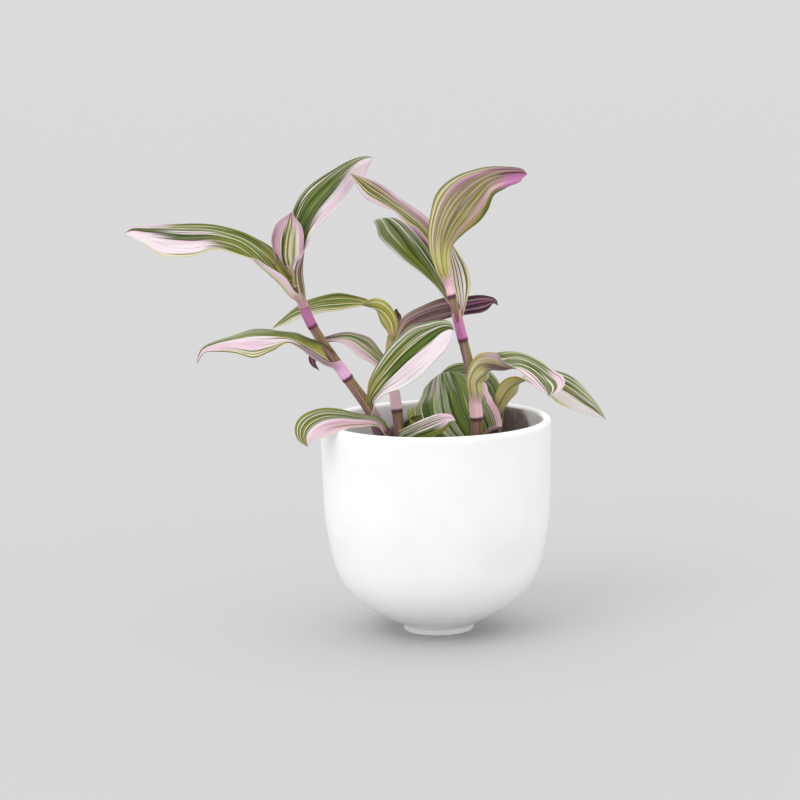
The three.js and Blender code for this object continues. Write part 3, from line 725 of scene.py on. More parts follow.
        "look": [(0.4, -0.9, 0.2), (0.4, -0.9, 0.2), (0.5, -0.8, 0.4), (0.5, -0.7, 0.4), (0.5, -0.7, 0.4),
                 (0.5, -0.8, 0.2), (0.5, -0.9, 0.1), (0.5, -0.9, 0.1)],
        "rows": {
            0.25: "cream 3, olive 5, lime 3, deep 4, olive 6, cream 2, bark 5, cream 2, tan 5, mauve 10, "
                  "pink 8",
            0.9: "pink 8, cream 3, olive 4, cream 2, bark 5, olive 6, cream 2, bark 4, tan 6, cream 2, "
                 "taupe 4, pink 6",
        },
    },
    "c6": {
        "node": 67.5, "open": True, "purple": 0.2, "sheathTint": "#c4b884",
        "rib": [(11, -0.5, 129), (10.5, 1, 135.5), (9.5, 2.5, 141.5), (8, 3.5, 147), (7.5, 4.5, 151.5)],
        "half": [(2.5, 2), (3.5, 4), (3, 4), (2, 2.5)],
        "fold": [0.8, 0.6, 0.6, 0.5],
        "look": [(0, -1, 0.2), (0, -1, 0.2), (0, -1, 0.2), (0, -1, 0.2)],
        "rows": {
            0.5: "blush 10, olive 3.5, cream 8, bark 3.5, blush 8, bark 3, white 8, olive 3.5, sage 3, "
                 "cream 7",
        },
    },
    "d1": {
        "node": 21.5, "sheath": 3, "purple": 0.0, "sheathTint": "#a39568",
        "rib": [(25, 20, 83), (27, 18.5, 88), (30, 17, 92.5), (33.5, 16, 95), (38.5, 15, 96.5),
                (45, 13.5, 95), (51.5, 12, 92), (58, 10, 88), (62.5, 8.5, 85), (67, 7, 81)],
        "half": [(3, 2), (4.5, 3.5), (5, 4.5), (4.5, 4), (5.5, 3.5), (6, 5.5), (6, 6.5), (4.5, 5.5),
                 (2.5, 3.5)],
        "fold": [0.9, 0.8, 0.6, 0.8, 0.4, 0.3, 0.2, 0.2, 0],
        "look": [(-0.1, 0.9, 0.3), (-0.2, 0.9, 0.4), (-0.2, 0.8, 0.5), (-0.3, 0.5, 0.8), (-0.1, -0.5, 0.9),
                 (0.1, -0.7, 0.7), (0.1, -0.9, 0.5), (0.1, -0.9, 0.5), (0.1, -0.9, 0.4)],
        "rows": {
            0.25: "butter 8, lime 6, butter 8, olive 2, butter 6, lime 6",
            0.55: "sage 4, cream 2.5, sage 6, cream 2, sage 5, deep 4, cream 2, olive 8, deep 4, "
                  "chalk 26, cream 2, olive 2, cream 3",
            0.95: "chalk 4, grey 6, cream 2, grey 8, chalk 3, mauve 3, deep 5, olive 3, chalk 24",
        },
        "under": {
            0.25: "butter 10, cream 4, butter 8, lime 4, cream 4, butter 10, lime 3",
            0.6: "sage 10, pale 3, sage 8, mauve 10, sage 8",
        },
    },
    "d2": {
        "node": 14.5, "sheath": 1.5, "purple": 0.5,
        "rib": [(25, 24, 78.5), (25, 28, 85), (23.5, 33, 91), (18.5, 38, 94.5), (13, 43, 96),
                (6.5, 46, 94.5), (1.5, 47.5, 92.5)],
        "half": [(3, 2.5), (5, 3), (6.5, 4), (7, 6), (6.5, 5), (3.5, 3.5)],
        "fold": [0.8, 0.1, -0.2, -0.5, -0.2, 0.1],
        "look": [(0.5, -0.8, 0.5), (0.5, -0.7, 0.6), (0.3, -0.6, 0.8), (0, -0.5, 0.9), (-0.3, -0.5, 0.8),
                 (-0.4, -0.5, 0.7)],
        "rows": {
            0.5: "deep 14, green 5, deep 12, pale 1, deep 14, green 5, deep 14, cream 1.5, olive 7",
        },
    },
}
leafForm = {
    "tubeFold": 0.993 * math.pi,  # half angle of the closed sheath
    "channelFold": 1.45,  # the same where the sheath opens
    "openFold": 0.8,  # and on a leaf with no sheath
    "openBase": 1.5,  # how far a leaf with no sheath follows its stem
    "start": 0.15,  # the sheath starts this far above its node
    "mouth": 2.6,  # how long the sheath takes to open
    "closedPoints": 4,  # the sheath follows its stem at so many steps
    "snug": 0.14,  # the sheath's middle stands this far off the stem's skin
    "ribThickness": 0.66,
    "edgeThickness": 0.24,
    "sheathThickness": 0.26,
    "tipThinness": 0.5,  # as a share, reached over the last quarter of the blade
    "thinning": 1.3,  # how late the blade thins toward its edges
    "narrowest": 0.05,
    "along": 110,  # stretches between the sections of a leaf
    "crowding": 0.35,  # how much closer the sections are toward the tip
    "across": 30,  # strips across it, with one more at each edge
    "rim": 0.985,  # where that one starts
    "flat": 0.02,  # a smaller fold than this is none
    "flareShare": 0.2,  # relief grows in over this share of the blade
    "fadeShare": 1 / 6,  # and fades out over this share at the tip
    "veinSpacing": 1.05,
    "veinHeight": 0.03,
    "veinBeneath": 0.7,  # how much of it shows on the underside
    "groove": 0.22,
    "grooveWidth": 0.8,
    "grooveBeneath": 0.4,
    "wave": 0.3,
    "waveLength": 17,
    "waveLag": 1.9,  # the two edges wave out of step
    "sheathReach": 11,  # a sheath's colours are set in shares of its length and this much more
}
leafSkin = {
    # pattern sizes: across in half widths, along in millimetres, and the last keeps leaves apart
    "wander": (0.4, 26, 1),
    "feather": (1 / 30, 14, 1),
    "streaks": (1 / 11, 24, 1 / 5),
    "fineLines": (1 / 34, 16, 1),
    "paleLines": (1 / 20, 40, 1 / 7),
    # and here across in millimetres too
    "hairs": (0.35, 9, 1),
    "cells": 0.22,
    "wanderReach": 0.025,  # as shares of the width
    "featherReach": 0.02,
    "unevenness": 0.4,  # as shares of the blade's length
    "neck": 0.1,
    "neckFade": 0.2,
    # colours
    "paleLine": "#d8d9b6",
    "stainAndShadow": {0.3: "#64434f", 0.7: "#8f6c76"},
    "rib": "#a04c94",
    "ribBand": {0.53: 0, 0.545: 0.9, 0.57: 0.9, 0.585: 0},
    "node": "#6f3054",
    "sheath": "#b98ea0",  # where a leaf has no tint of its own
    "mouth": "#d6bab0",
}


def bandStops(text):
    # a row's colours by where each stripe starts, the left edge at 0
    bands = [entry.split() for entry in text.split(",")]
    whole = sum(float(share) for _, share in bands)
    stops = {}
    edge = 0.0
    for name, share in bands:
        stops[edge] = leafColours[name]
        edge += float(share) / whole
    return stops


def rowsOfStripes(tree, rows, spot, ripeness):
    # the rows one after another up the blade, each turning into the next
    stripes = addNode(tree, "ValToRGB", None, {0: spot}, bandStops(rows[0][1]), "CONSTANT")[0]
    for (low, _), (high, text) in zip(rows, rows[1:]):
        middle = (low + high) / 2
        reach = (high - low) / 4
        turned = addNode(tree, "ValToRGB", None, {0: ripeness},
                         {max(middle - reach, 0): 0, min(middle + reach, 1): 1})[0]
        following = addNode(tree, "ValToRGB", None, {0: spot}, bandStops(text), "CONSTANT")[0]
        stripes = addNode(tree, "Mix", mixing, {0: turned, 6: stripes, 7: following})[2]
    return stripes


def bladeColour(tree, leaf, side, lines, fine):
    across, bladeShare = (addNode(tree, "Attribute", {"attribute_name": key})["Fac"]
                          for key in ("across", "bladeShare"))
    streaks = patternOn(tree, lines, leafSkin["streaks"], 2.0, 0.6)

    # stripes wander a little on their way up the blade, and their edges are feathered
    wander = patternOn(tree, lines, leafSkin["wander"])
    feather = patternOn(tree, lines, leafSkin["feather"], 3.0, 0.6)
    middle = 0.5 - (leafSkin["wanderReach"] + leafSkin["featherReach"]) / 2
    drift = addNode(tree, "Math", scaling, {0: wander, 1: leafSkin["wanderReach"], 2: middle})[0]
    shake = addNode(tree, "Math", scaling, {0: feather, 1: leafSkin["featherReach"], 2: drift})[0]
    spot = addNode(tree, "Math", scaling, {0: across, 1: 0.5, 2: shake})[0]

    # one streak turns colour sooner than the next
    uneven = addNode(tree, "Math", scaling, {
        0: streaks, 1: leafSkin["unevenness"], 2: -leafSkin["unevenness"] / 2})[0]
    ripeness = addNode(tree, "Math", adding, {0: bladeShare, 1: uneven})[0]
    rows = leaf.get("under", leaf["rows"]) if side == "under" else leaf["rows"]
    colour = rowsOfStripes(tree, list(rows.items()), spot, ripeness)

    # lighter and darker lines lie between the veins
    fineShade = addNode(tree, "ValToRGB", None, {0: fine}, {0.3: 0.74, 0.5: 1.0, 0.7: 1.08})[0]
    broadShade = addNode(tree, "ValToRGB", None, {0: streaks}, {0.38: 0.78, 0.48: 0.98, 0.6: 1.06})[0]
    colour = addNode(tree, "Mix", shading, {0: 0.85, 6: colour, 7: fineShade})[2]
    colour = addNode(tree, "Mix", shading, {0: 0.8, 6: colour, 7: broadShade})[2]
    paleLines = patternOn(tree, lines, leafSkin["paleLines"], 1.0)
    paleLines = addNode(tree, "ValToRGB", None, {0: paleLines}, {0.62: 0, 0.67: 0.35})[0]
    pale = linearColour(leafSkin["paleLine"])
    colour = addNode(tree, "Mix", mixing, {0: paleLines, 6: colour, 7: pale})[2]

    if side == "under":
        stainAndShadow = addNode(tree, "ValToRGB", None, {0: fine}, leafSkin["stainAndShadow"])[0]
        neck = leaf.get("greenNeck", leafSkin["neck"])
        stained = {neck: 0, neck + leafSkin["neckFade"]: leaf["purple"]}
        stained = addNode(tree, "ValToRGB", None, {0: bladeShare}, stained)[0]
        colour = addNode(tree, "Mix", mixing, {0: stained, 6: colour, 7: stainAndShadow})[2]
    if leaf.get("rosyRib"):
        rib = addNode(tree, "ValToRGB", None, {0: spot}, leafSkin["ribBand"])[0]
        rosy = linearColour(leafSkin["rib"])
        colour = addNode(tree, "Mix", mixing, {0: rib, 6: colour, 7: rosy})[2]
    return colour


def sheathColour(tree, leaf, place, sheathShare):
    # the sheath is darkest at its node and fades where the blade starts, with hair-fine lines
    tint = leaf.get("sheathTint", leafSkin["sheath"])
    tints = {0.0: leafSkin["node"], 0.05: tint, 0.38: tint, 0.66: leafSkin["mouth"]}
    colour = addNode(tree, "ValToRGB", None, {0: sheathShare}, tints)[0]
    hairs = patternOn(tree, place, leafSkin["hairs"], 3.0, 0.6)
    hairs = addNode(tree, "ValToRGB", None, {0: hairs}, {0.35: 0.78, 0.65: 1.12})[0]
    return addNode(tree, "Mix", shading, {0: 0.9, 6: colour, 7: hairs})[2]


def leafTissue(name, leaf, side):
    # striped leaf skin: waxy and satin above, purple stained beneath, with fine parallel veins
    material, tree = newMaterial("leaf " + side + " " + name)
    place, lines = (addNode(tree, "Attribute", {"attribute_name": key})["Vector"]
                    for key in ("leafMm", "leafLines"))
    sheathShare = addNode(tree, "Attribute", {"attribute_name": "sheathShare"})["Fac"]
    fine = patternOn(tree, lines, leafSkin["fineLines"], 3.0, 0.65)
    opened = addNode(tree, "ValToRGB", None, {0: sheathShare}, {0.4: 0, 0.7: 1}, "EASE")[0]
    colour = addNode(tree, "Mix", mixing, {
        0: opened, 6: sheathColour(tree, leaf, place, sheathShare),
        7: bladeColour(tree, leaf, side, lines, fine)})[2]

    # skin cells give a fine satin grain
    cells = addNode(tree, "TexVoronoi", None, {"Scale": 1 / leafSkin["cells"], "Vector": place})["Distance"]
    grain = addNode(tree, "Bump", None, {"Strength": 0.16, "Distance": 0.00008, "Height": cells})[0]
    ribbed = addNode(tree, "Bump", None, {
        "Strength": 0.3, "Distance": 0.0002, "Height": fine, "Normal": grain})[0]
    satin = addNode(tree, "ValToRGB", None, {0: fine}, {0.3: 0.42, 0.7: 0.56})[0]
    finishMaterial(tree, {"IOR": 1.42, "Subsurface Weight": 0.1, "Subsurface Scale": 0.0015,
                          "Specular IOR Level": 0.3, "Base Color": colour, "Roughness": satin,
                          "Normal": ribbed})
    return material


def acrossSteps():
    # closer together at the edges
    half = leafForm["across"] // 2
    right = [math.sin(math.pi / 2 * k / half) * leafForm["rim"] for k in range(1, half + 1)]
    return [-1.0, *(-x for x in reversed(right)), 0.0, *right, 1.0]


def leafGuides(leaf, stem):
    # the rib, and along it the half widths, the fold and the look of the upper side
    line = stem["line"]
    isOpen = leaf.get("open", False)
    sheath = leafForm["openBase"] if isOpen else leaf["sheath"]
    closed = leafForm["closedPoints"]
    ends = [lerp(leafForm["start"], sheath, k / closed) for k in range(closed + 1)]
    ends.append(sheath + leafForm["mouth"])
    spots = [line.point(leaf["node"] + end) for end in ends]
    along = line.direction(leaf["node"] + ends[-1])
    outward = Vector(leaf.get("lean", Vector(leaf["rib"][0]) - spots[-1]))
    outward = (outward - along * outward.dot(along)).normalized()
    tubes = [stemRadius(stem, leaf["node"] + end) + leafForm["snug"] for end in ends]
    if isOpen:
        startFold = neckFold = leafForm["openFold"]
    else:
        # a blade that stays rolled at its base lets its sheath open only part of the way
        startFold = leafForm["tubeFold"]
        isRolled = leaf["fold"][0] > leafForm["channelFold"]
        neckFold = (startFold + leaf["fold"][0]) / 2 if isRolled else leafForm["channelFold"]
    folds = [startFold] * (closed + 1) + [neckFold]
    rib = GrowthLine([*(spot + outward * tube for spot, tube in zip(spots, tubes)), *leaf["rib"]])
    marks = [rib.lengthTo(k) for k in range(len(ends) + len(leaf["rib"]))]
    wraps = [tube * fold for tube, fold in zip(tubes, folds)]
    looks = [-outward] * len(ends) + [Vector(look).normalized() for look in leaf["look"]]
    return {
        "rib": rib,
        "marks": marks[closed:],
        "startWrap": wraps[0],
        "left": wraps[closed:] + [float(left) for left, _ in leaf["half"]] + [leafForm["narrowest"]],
        "right": wraps[closed:] + [float(right) for _, right in leaf["half"]] + [leafForm["narrowest"]],
        "fold": folds[closed:] + [float(fold) for fold in leaf["fold"]] + [float(leaf["fold"][-1])],
        "look": looks[closed:] + [looks[-1]],
        "sheathTop": marks[closed],
        "bladeStart": marks[closed + 1],
    }


def leafSection(guides, distance):
    # the half widths, the fold and the look at a distance along the rib
    if distance <= guides["sheathTop"]:
        # the closed sheath keeps to its stem
        wrap = lerp(guides["startWrap"], guides["left"][0], distance / guides["sheathTop"])
        return wrap, wrap, guides["fold"][0], guides["look"][0]
    left, right, fold, look = (easedValue(guides["marks"], guides[key], distance)
                               for key in ("left", "right", "fold", "look"))
    return max(left, leafForm["narrowest"]), max(right, leafForm["narrowest"]), fold, look


def foldedPlace(reach, fold, u):
    # how far sideways and how far raised a point of a folded section lies
    if abs(fold) <= leafForm["flat"]:
        return reach * u, 0.0
    return reach / fold * math.sin(fold * u), reach / fold * (1 - math.cos(fold * u))


def leafFaces(count, width):
    # the upper side, the lower side, the edges and the two ends, and which of the skins each has
    ring = 2 * width
    faces = []
    kinds = []
    for a in range(0, count * ring, ring):
        b = a + ring
        for j in range(width - 1):
            faces.append((a + j, a + j + 1, b + j + 1, b + j))
            faces.append((b + width + j, b + width + j + 1, a + width + j + 1, a + width + j))
            kinds += [0, 1]
        faces.append((a + width, a, b, b + width))
        faces.append((b + ring - 1, b + width - 1, a + width - 1, a + ring - 1))
        kinds += [0, 0]
    last = count * ring
    for j in range(width - 1):
        faces.append((j, width + j, width + j + 1, j + 1))
        faces.append((last + j + 1, last + width + j + 1, last + width + j, last + j))
        kinds += [0, 0]
    return faces, kinds


def growLeaf(name, leaf, stem):
    guides = leafGuides(leaf, stem)
    rib = guides["rib"]
    bladeStart = guides["bladeStart"]
    us = acrossSteps()
    ownNumber = float(sum(ord(letter) for letter in name))
    widest = max(max(pair) for pair in leaf["half"])
    veins = max(3, round(widest / leafForm["veinSpacing"]))
    vertices = []
    attributes = {"across": [], "leafMm": [], "leafLines": [], "bladeShare": [], "sheathShare": []}
    count = leafForm["along"]
    for i in range(count + 1):
        distance = rib.total * lerp(i / count, math.sin(math.pi / 2 * i / count), leafForm["crowding"])
        centre = rib.point(distance)
        tangent = rib.direction(distance)
        left, right, fold, look = leafSection(guides, distance)
        up = (look - tangent * look.dot(tangent)).normalized()
        side = tangent.cross(up)
        share = max(0.0, (distance - bladeStart) / (rib.total - bladeStart))
        flare = smooth(share / leafForm["flareShare"])
        fade = min(1.0, (1 - share) / leafForm["fadeShare"]) * flare
        tipThinness = lerp(1.0, leafForm["tipThinness"], smooth(share * 4 - 3))
        upper = []
        lower = []
        for u in us:
            reach = right if u > 0 else left
            sideways, raised = foldedPlace(reach, fold, u)
            inward = up * math.cos(fold * u) - side * math.sin(fold * u)
            lag = leafForm["waveLag"] if u > 0 else 0
            beat = 2 * math.pi * distance / leafForm["waveLength"] + ownNumber + lag
            ripple = leafForm["wave"] * u * u * math.sin(beat)
            groove = leafForm["groove"] * math.exp(-((u * reach / leafForm["grooveWidth"]) ** 2)) * flare
            vein = leafForm["veinHeight"] * math.cos(2 * math.pi * veins * abs(u)) * fade
            middle = centre + side * sideways + up * raised + inward * (ripple * fade - groove)
            thick = lerp(leafForm["ribThickness"], leafForm["edgeThickness"], abs(u) ** leafForm["thinning"])
            half = lerp(leafForm["sheathThickness"], thick, flare) * tipThinness / 2
            beneath = vein * leafForm["veinBeneath"] + groove * leafForm["grooveBeneath"]
            upper.append(middle + inward * (half + vein))
            lower.append(middle - inward * (half + beneath))
        vertices += [*upper, *lower]
        for _ in range(2):  # the upper side and then the lower
            attributes["across"] += us
            attributes["leafMm"] += [(u * (right if u > 0 else left), distance, ownNumber) for u in us]
            attributes["leafLines"] += [(u, distance, ownNumber) for u in us]
            attributes["bladeShare"] += [share] * len(us)
            attributes["sheathShare"] += [distance / (bladeStart + leafForm["sheathReach"])] * len(us)
    faces, kinds = leafFaces(count, len(us))
    skins = [leafTissue(name, leaf, "upper"), leafTissue(name, leaf, "under")]
    piece = addPiece(name.replace("leaf_", "leafBlade_"), vertices, faces, skins, kinds, attributes)
    standFor(piece, name)


for key, leaf in leaves.items():
    growLeaf("leaf_" + key, leaf, stems[key[0]])
print(len(leaves), "leaves grown")

bud = {
    "line": [(-19.5, -2.5, 69), (-18.5, -1.5, 75), (-18.7, -1.5, 79), (-19.2, -1.8, 81.5)],
    "width": 2.3,
    "steps": 24,
    "sides": 20,
    "fullness": 0.7,
    "lowness": 0.8,  # below 1, it is fullest under its middle
    "end": 0.02,
    "overlap": 0.09,
    "winding": 0.6,  # turns of the outer leaf's edge
    "lines": (0.7 * mm, 0.7 * mm, 12 * mm),
    "plum": {0.35: "#2e121d", 0.55: "#4a2234", 0.72: "#8a5873"},
}


def budScale():
    # young leaves rolled tight: waxy dark plum with paler lengthwise lines
    material, tree = newMaterial("rolled young leaf")
    place = addNode(tree, "TexCoord")["Object"]
    lines = patternOn(tree, place, bud["lines"], 3.0)
    colour = addNode(tree, "ValToRGB", None, {0: lines}, bud["plum"])[0]
    bump = addNode(tree, "Bump", None, {"Strength": 0.3, "Distance": 0.0002, "Height": lines})[0]
    finishMaterial(tree, {"Roughness": 0.4, "IOR": 1.42, "Base Color": colour, "Normal": bump})
    return material


def growBud():
    line = GrowthLine(bud["line"])
    sides = bud["sides"]
    vertices = []
    for i in range(bud["steps"] + 1):
        share = i / bud["steps"]
        centre = line.point(line.total * share)
        side, front = crossAxes(line.direction(line.total * share))
        bulge = math.sin(math.pi * share ** bud["lowness"]) ** bud["fullness"]
        girth = bud["width"] * max(bulge, bud["end"])
        for k in range(sides):
            # the outer leaf's edge winds round the bud as a low step
            angle = 2 * math.pi * k / sides
            step = 1 + bud["overlap"] * ((k / sides + share * bud["winding"]) % 1.0)
            vertices.append(centre + (side * math.cos(angle) + front * math.sin(angle)) * girth * step)
    piece = addPiece("youngBud", vertices, tubeFaces(bud["steps"] + 1, sides), [budScale()])
    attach(piece, "root")


growBud()
print("bud grown")

stemForm = {
    "sides": 28,
    "step": 0.6,
    "swelling": 0.22,  # the ring at each node
    "ringWidth": 0.62,
    "ringBelow": 0.35,
    "ridge": 0.035,
    "ridges": 7,
    "end": 0.6,  # how slim the last section is
    "inset": 0.32,  # how much slimmer a stem is inside a sheath
    "insetFrom": 0.3,  # it starts this far above the node
    "insetRise": 0.5,
    "insetPast": 0.5,  # and ends this far past the sheath's mouth
    "insetFall": 1.5,
    "youngLength": 10,  # the green end
    "youngFade": 4,
    "sunAngle": 0.5,  # radians from the right, where the tan side is
}
stemSkin = {
    "streaks": (0.7, 0.7, 14),
    "patches": (3, 3, 18),
    "mauve": {0.3: "#6f5149", 0.5: "#8d6d62", 0.7: "#ab8c84"},
    "tan": {0.3: "#64532f", 0.5: "#806a40", 0.7: "#9a8455"},
    "green": {0.3: "#6d7a35", 0.7: "#a3a55c"},
    "ring": "#561f38",
}


def juicySkin():
    # juicy stem skin: mauve on one side and olive tan on the other, with fine lengthwise streaks,
    # dark purple at each node ring, and green where it still grows
    material, tree = newMaterial("stem skin")
    place = addNode(tree, "Attribute", {"attribute_name": "stemMm"})["Vector"]
    ringTint, sunSide, youngTip = (addNode(tree, "Attribute", {"attribute_name": key})["Fac"]
                                   for key in ("ringTint", "sunSide", "youngTip"))
    streaks = patternOn(tree, place, stemSkin["streaks"], 3.0)
    patches = patternOn(tree, place, stemSkin["patches"])
    mauve, tan, green = (addNode(tree, "ValToRGB", None, {0: streaks}, stemSkin[key])[0]
                         for key in ("mauve", "tan", "green"))
    patches = addNode(tree, "Math", scaling, {0: patches, 1: 0.6, 2: -0.3})[0]
    turned = addNode(tree, "Math", adding, {0: sunSide, 1: patches})[0]
    turned = addNode(tree, "ValToRGB", None, {0: turned}, {0.7: 0, 0.95: 1})[0]
    colour = addNode(tree, "Mix", mixing, {0: turned, 6: mauve, 7: tan})[2]
    colour = addNode(tree, "Mix", mixing, {0: youngTip, 6: colour, 7: green})[2]
    colour = addNode(tree, "Mix", mixing, {0: ringTint, 6: colour, 7: linearColour(stemSkin["ring"])})[2]
    bump = addNode(tree, "Bump", None, {"Strength": 0.25, "Distance": 0.0002, "Height": streaks})[0]
    finishMaterial(tree, {"Roughness": 0.38, "IOR": 1.42, "Subsurface Weight": 0.15,
                          "Subsurface Scale": 0.002, "Base Color": colour, "Normal": bump})
    return material


def insideSheath(distance, leaf):
    # 1 where the leaf's sheath closes round its stem, and 0 at its node and past its mouth
    above = distance - leaf["node"] - stemForm["insetFrom"]
    left = leaf["node"] + leaf["sheath"] + leafForm["mouth"] + stemForm["insetPast"] - distance
    return smooth(above / stemForm["insetRise"]) * smooth(left / stemForm["insetFall"])


def growStem(letter, stem, skin):
    line = stem["line"]
    sheathed = [leaf for key, leaf in leaves.items() if key[0] == letter and not leaf.get("open")]
    rings = [leaf["node"] - stemForm["ringBelow"] for leaf in sheathed if not leaf.get("nested")]
    sides = stemForm["sides"]
    vertices = []
    attributes = {"stemMm": [], "ringTint": [], "sunSide": [], "youngTip": []}
    steps = round(line.total / stemForm["step"])
    for i in range(steps + 1):
        distance = line.total * i / steps
        centre = line.point(distance)
        side, front = crossAxes(line.direction(distance))
        ringed = sum(math.exp(-(((distance - ring) / stemForm["ringWidth"]) ** 4)) for ring in rings)
        radius = stemRadius(stem, distance) + stemForm["swelling"] * ringed
        radius -= stemForm["inset"] * max(insideSheath(distance, leaf) for leaf in sheathed)
        if i == steps:
            radius *= stemForm["end"]
        young = smooth((distance - line.total + stemForm["youngLength"]) / stemForm["youngFade"])
        for k in range(sides):
            angle = 2 * math.pi * k / sides
            ridged = radius + stemForm["ridge"] * math.cos(stemForm["ridges"] * angle)
            vertices.append(centre + (side * math.cos(angle) + front * math.sin(angle)) * ridged)
            attributes["stemMm"].append((radius * math.cos(angle), radius * math.sin(angle), distance))
            attributes["ringTint"].append(min(1.0, ringed))
            attributes["youngTip"].append(young)
            attributes["sunSide"].append(0.5 + 0.5 * math.cos(angle + stemForm["sunAngle"]))
    piece = addPiece("stemBody_" + letter, vertices, tubeFaces(steps + 1, sides), [skin], None, attributes)
    standFor(piece, "stem_" + letter)


skin = juicySkin()
for letter, stem in stems.items():
    growStem(letter, stem, skin)
print("stems grown")

soil = {
    "radius": 41.2,
    "gap": 0.3,  # between the bed and the wall
    "edge": 1.5,  # the wall's side of the bed ends this far below the soil line
    "wallSteps": 30,
    "topSteps": 40,
    "segments": 120,
    "lumps": 0.55,
    "crumbs": 900,
    "crumbSize": (0.5, 1.5),
    "perlite": 60,
    "perliteSize": (0.9, 1.5),
    "clear": 2.2,  # grains keep this far in from the bed's edge
    "showing": 0.2,  # a grain's middle stands this share of its size above the bed
    "spin": 6.28,  # radians, about a full turn
    "stretch": [(0.6, 1.2), (0.5, 1), (0.4, 0.9)],
    "seed": 7,
    "grit": 1.8,
    "peat": {0.3: "#1c130d", 0.5: "#33241a", 0.62: "#4a3626", 0.75: "#6a5038"},
    "pits": 0.6,
    "chalk": {0.35: "#b9b2a6", 0.6: "#e6e2da"},
}


def pottingSoil():
    # damp peat and bark fines: near black, matt, with fibre and grit a millimetre or two across
    material, tree = newMaterial("potting soil")
    place = addNode(tree, "TexCoord")["Object"]
    grit = patternOn(tree, place, soil["grit"] * mm, 6.0, 0.7)
    colour = addNode(tree, "ValToRGB", None, {0: grit}, soil["peat"])[0]
    bump = addNode(tree, "Bump", None, {"Strength": 0.8, "Distance": 0.0006, "Height": grit})[0]
    finishMaterial(tree, {"Roughness": 0.95, "Base Color": colour, "Normal": bump})
    return material


def perliteGrain():
    # puffed volcanic glass: white, chalky and pitted
    material, tree = newMaterial("perlite")
    place = addNode(tree, "TexCoord")["Object"]
    pits = patternOn(tree, place, soil["pits"] * mm, 3.0)
    colour = addNode(tree, "ValToRGB", None, {0: pits}, soil["chalk"])[0]
    bump = addNode(tree, "Bump", None, {"Strength": 0.7, "Distance": 0.0002, "Height": pits})[0]
    finishMaterial(tree, {"Roughness": 0.9, "Base Color": colour, "Normal": bump})
    return material


def soilLevel(x, y):
    lump = math.sin(0.33 * x + 1.2) * math.cos(0.29 * y) + 0.6 * math.sin(0.61 * x - 0.47 * y)
    grain = noise.noise(Vector((x * 0.45, y * 0.45, 3))) * 0.7 + noise.noise(Vector((x, y, 9))) * 0.35
    return pot["soilLine"] + soil["lumps"] * lump + grain


def soilProfile():
    bed = [point for point in innerWall(soil["wallSteps"]) if point[1] < pot["soilLine"] - soil["edge"]]
    side = [(radius - soil["gap"], height + soil["gap"]) for radius, height in reversed(bed)]
    angles = [math.pi / 2 * k / soil["topSteps"] for k in range(soil["topSteps"])]
    top = [(soil["radius"] * math.cos(angle), pot["soilLine"]) for angle in angles]
    return [(0, pot["floorHeight"] + soil["gap"]), *side, *top, (0, soilLevel(0, 0))]


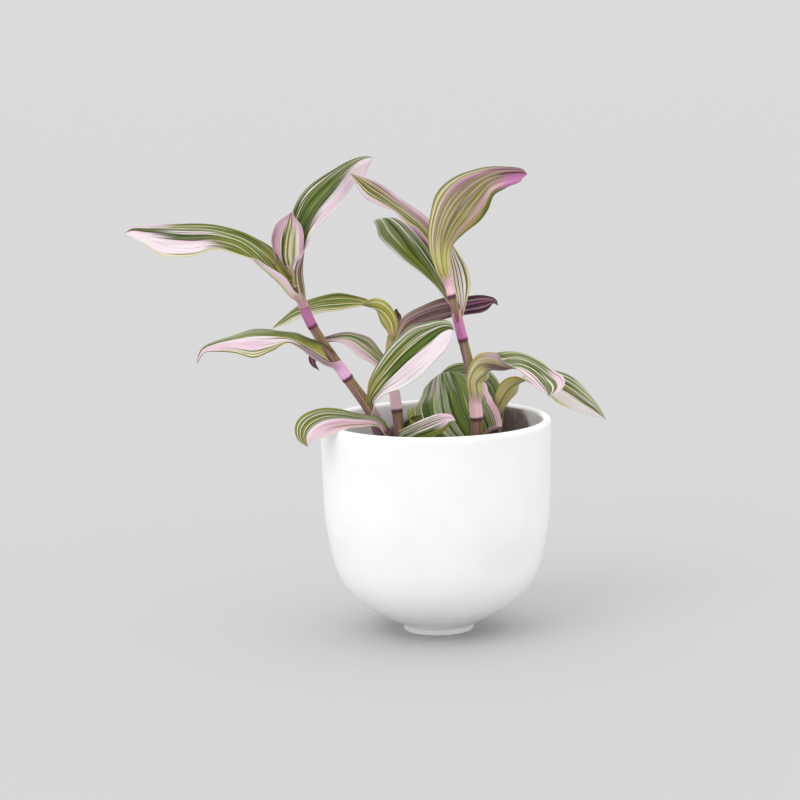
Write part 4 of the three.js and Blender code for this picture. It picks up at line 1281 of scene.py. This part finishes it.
def fillSoil():
    def crumble(spot):
        isTop = spot.z > pot["soilLine"] - 0.01
        return Vector((spot.x, spot.y, soilLevel(spot.x, spot.y))) if isTop else spot

    vertices, faces = turn(soilProfile(), soil["segments"], crumble)
    kinds = [0] * len(faces)
    draw = random.Random(soil["seed"])
    # each grain is an uneven octahedron
    corners = [Vector(c) for c in ((1, 0, 0), (-1, 0, 0), (0, 1, 0), (0, -1, 0), (0, 0, 1), (0, 0, -1))]
    octants = [(0, 2, 4), (2, 1, 4), (1, 3, 4), (3, 0, 4), (2, 0, 5), (1, 2, 5), (3, 1, 5), (0, 3, 5)]
    for number in range(soil["crumbs"] + soil["perlite"]):
        isPerlite = number >= soil["crumbs"]
        reach = (soil["radius"] - soil["clear"]) * math.sqrt(draw.random())
        bearing = draw.uniform(0, 2 * math.pi)
        x = reach * math.cos(bearing)
        y = reach * math.sin(bearing)
        size = draw.uniform(*soil["perliteSize"] if isPerlite else soil["crumbSize"])
        middle = Vector((x, y, soilLevel(x, y) + size * soil["showing"]))
        axis = Vector((draw.gauss(0, 1), draw.gauss(0, 1), 1)).normalized()
        spin = Matrix.Rotation(draw.uniform(0, soil["spin"]), 3, axis)
        base = len(vertices)
        for corner in corners:
            stretch = Vector([draw.uniform(*span) for span in soil["stretch"]])
            vertices.append(middle + spin @ (corner * stretch) * size)
        faces += [tuple(base + k for k in triangle) for triangle in octants]
        kinds += [int(isPerlite)] * len(octants)
    piece = addPiece("soilBed", vertices, faces, [pottingSoil(), perliteGrain()], kinds)
    standFor(piece, "soil")


fillSoil()
print("soil filled")

stage = {
    "floorRadius": 22000,
    "floorSides": 96,
    "floorColour": "#bababa",
    "sky": "#ffffff",
    "skyStrength": 1.25,
    "sun": 0.65,
    "sunFrom": (-1200, -1400, 1720),  # seen from the plant
    "sunWidth": 40,  # degrees, a wide sun for soft shadows
}


def layFloor():
    # matt paper: pale, with no sheen that shows
    material, tree = newMaterial("matt paper")
    finishMaterial(tree, {"Base Color": linearColour(stage["floorColour"]), "Roughness": 0.9,
                          "Specular IOR Level": 0.1})
    angles = [2 * math.pi * k / stage["floorSides"] for k in range(stage["floorSides"])]
    rim = [Vector((math.cos(angle), math.sin(angle), 0)) * stage["floorRadius"] for angle in angles]
    addPiece("floor", rim, [tuple(range(len(rim)))], [material])


def lightScene():
    world = bpy.data.worlds.new("studio")
    bpy.context.scene.world = world
    world.use_nodes = True
    world.node_tree.nodes.clear()
    sky = addNode(world.node_tree, "Background", None,
                  {"Color": linearColour(stage["sky"]), "Strength": stage["skyStrength"]})
    addNode(world.node_tree, "OutputWorld", None, {"Surface": sky[0]})
    lamp = bpy.data.lights.new("windowSun", "SUN")
    lamp.energy = stage["sun"]
    lamp.angle = math.radians(stage["sunWidth"])
    sun = bpy.data.objects.new("windowSun", lamp)
    bpy.context.collection.objects.link(sun)
    sun.matrix_world = Vector(stage["sunFrom"]).to_track_quat("Z", "Y").to_matrix().to_4x4()


layFloor()
lightScene()
print("stage lit")
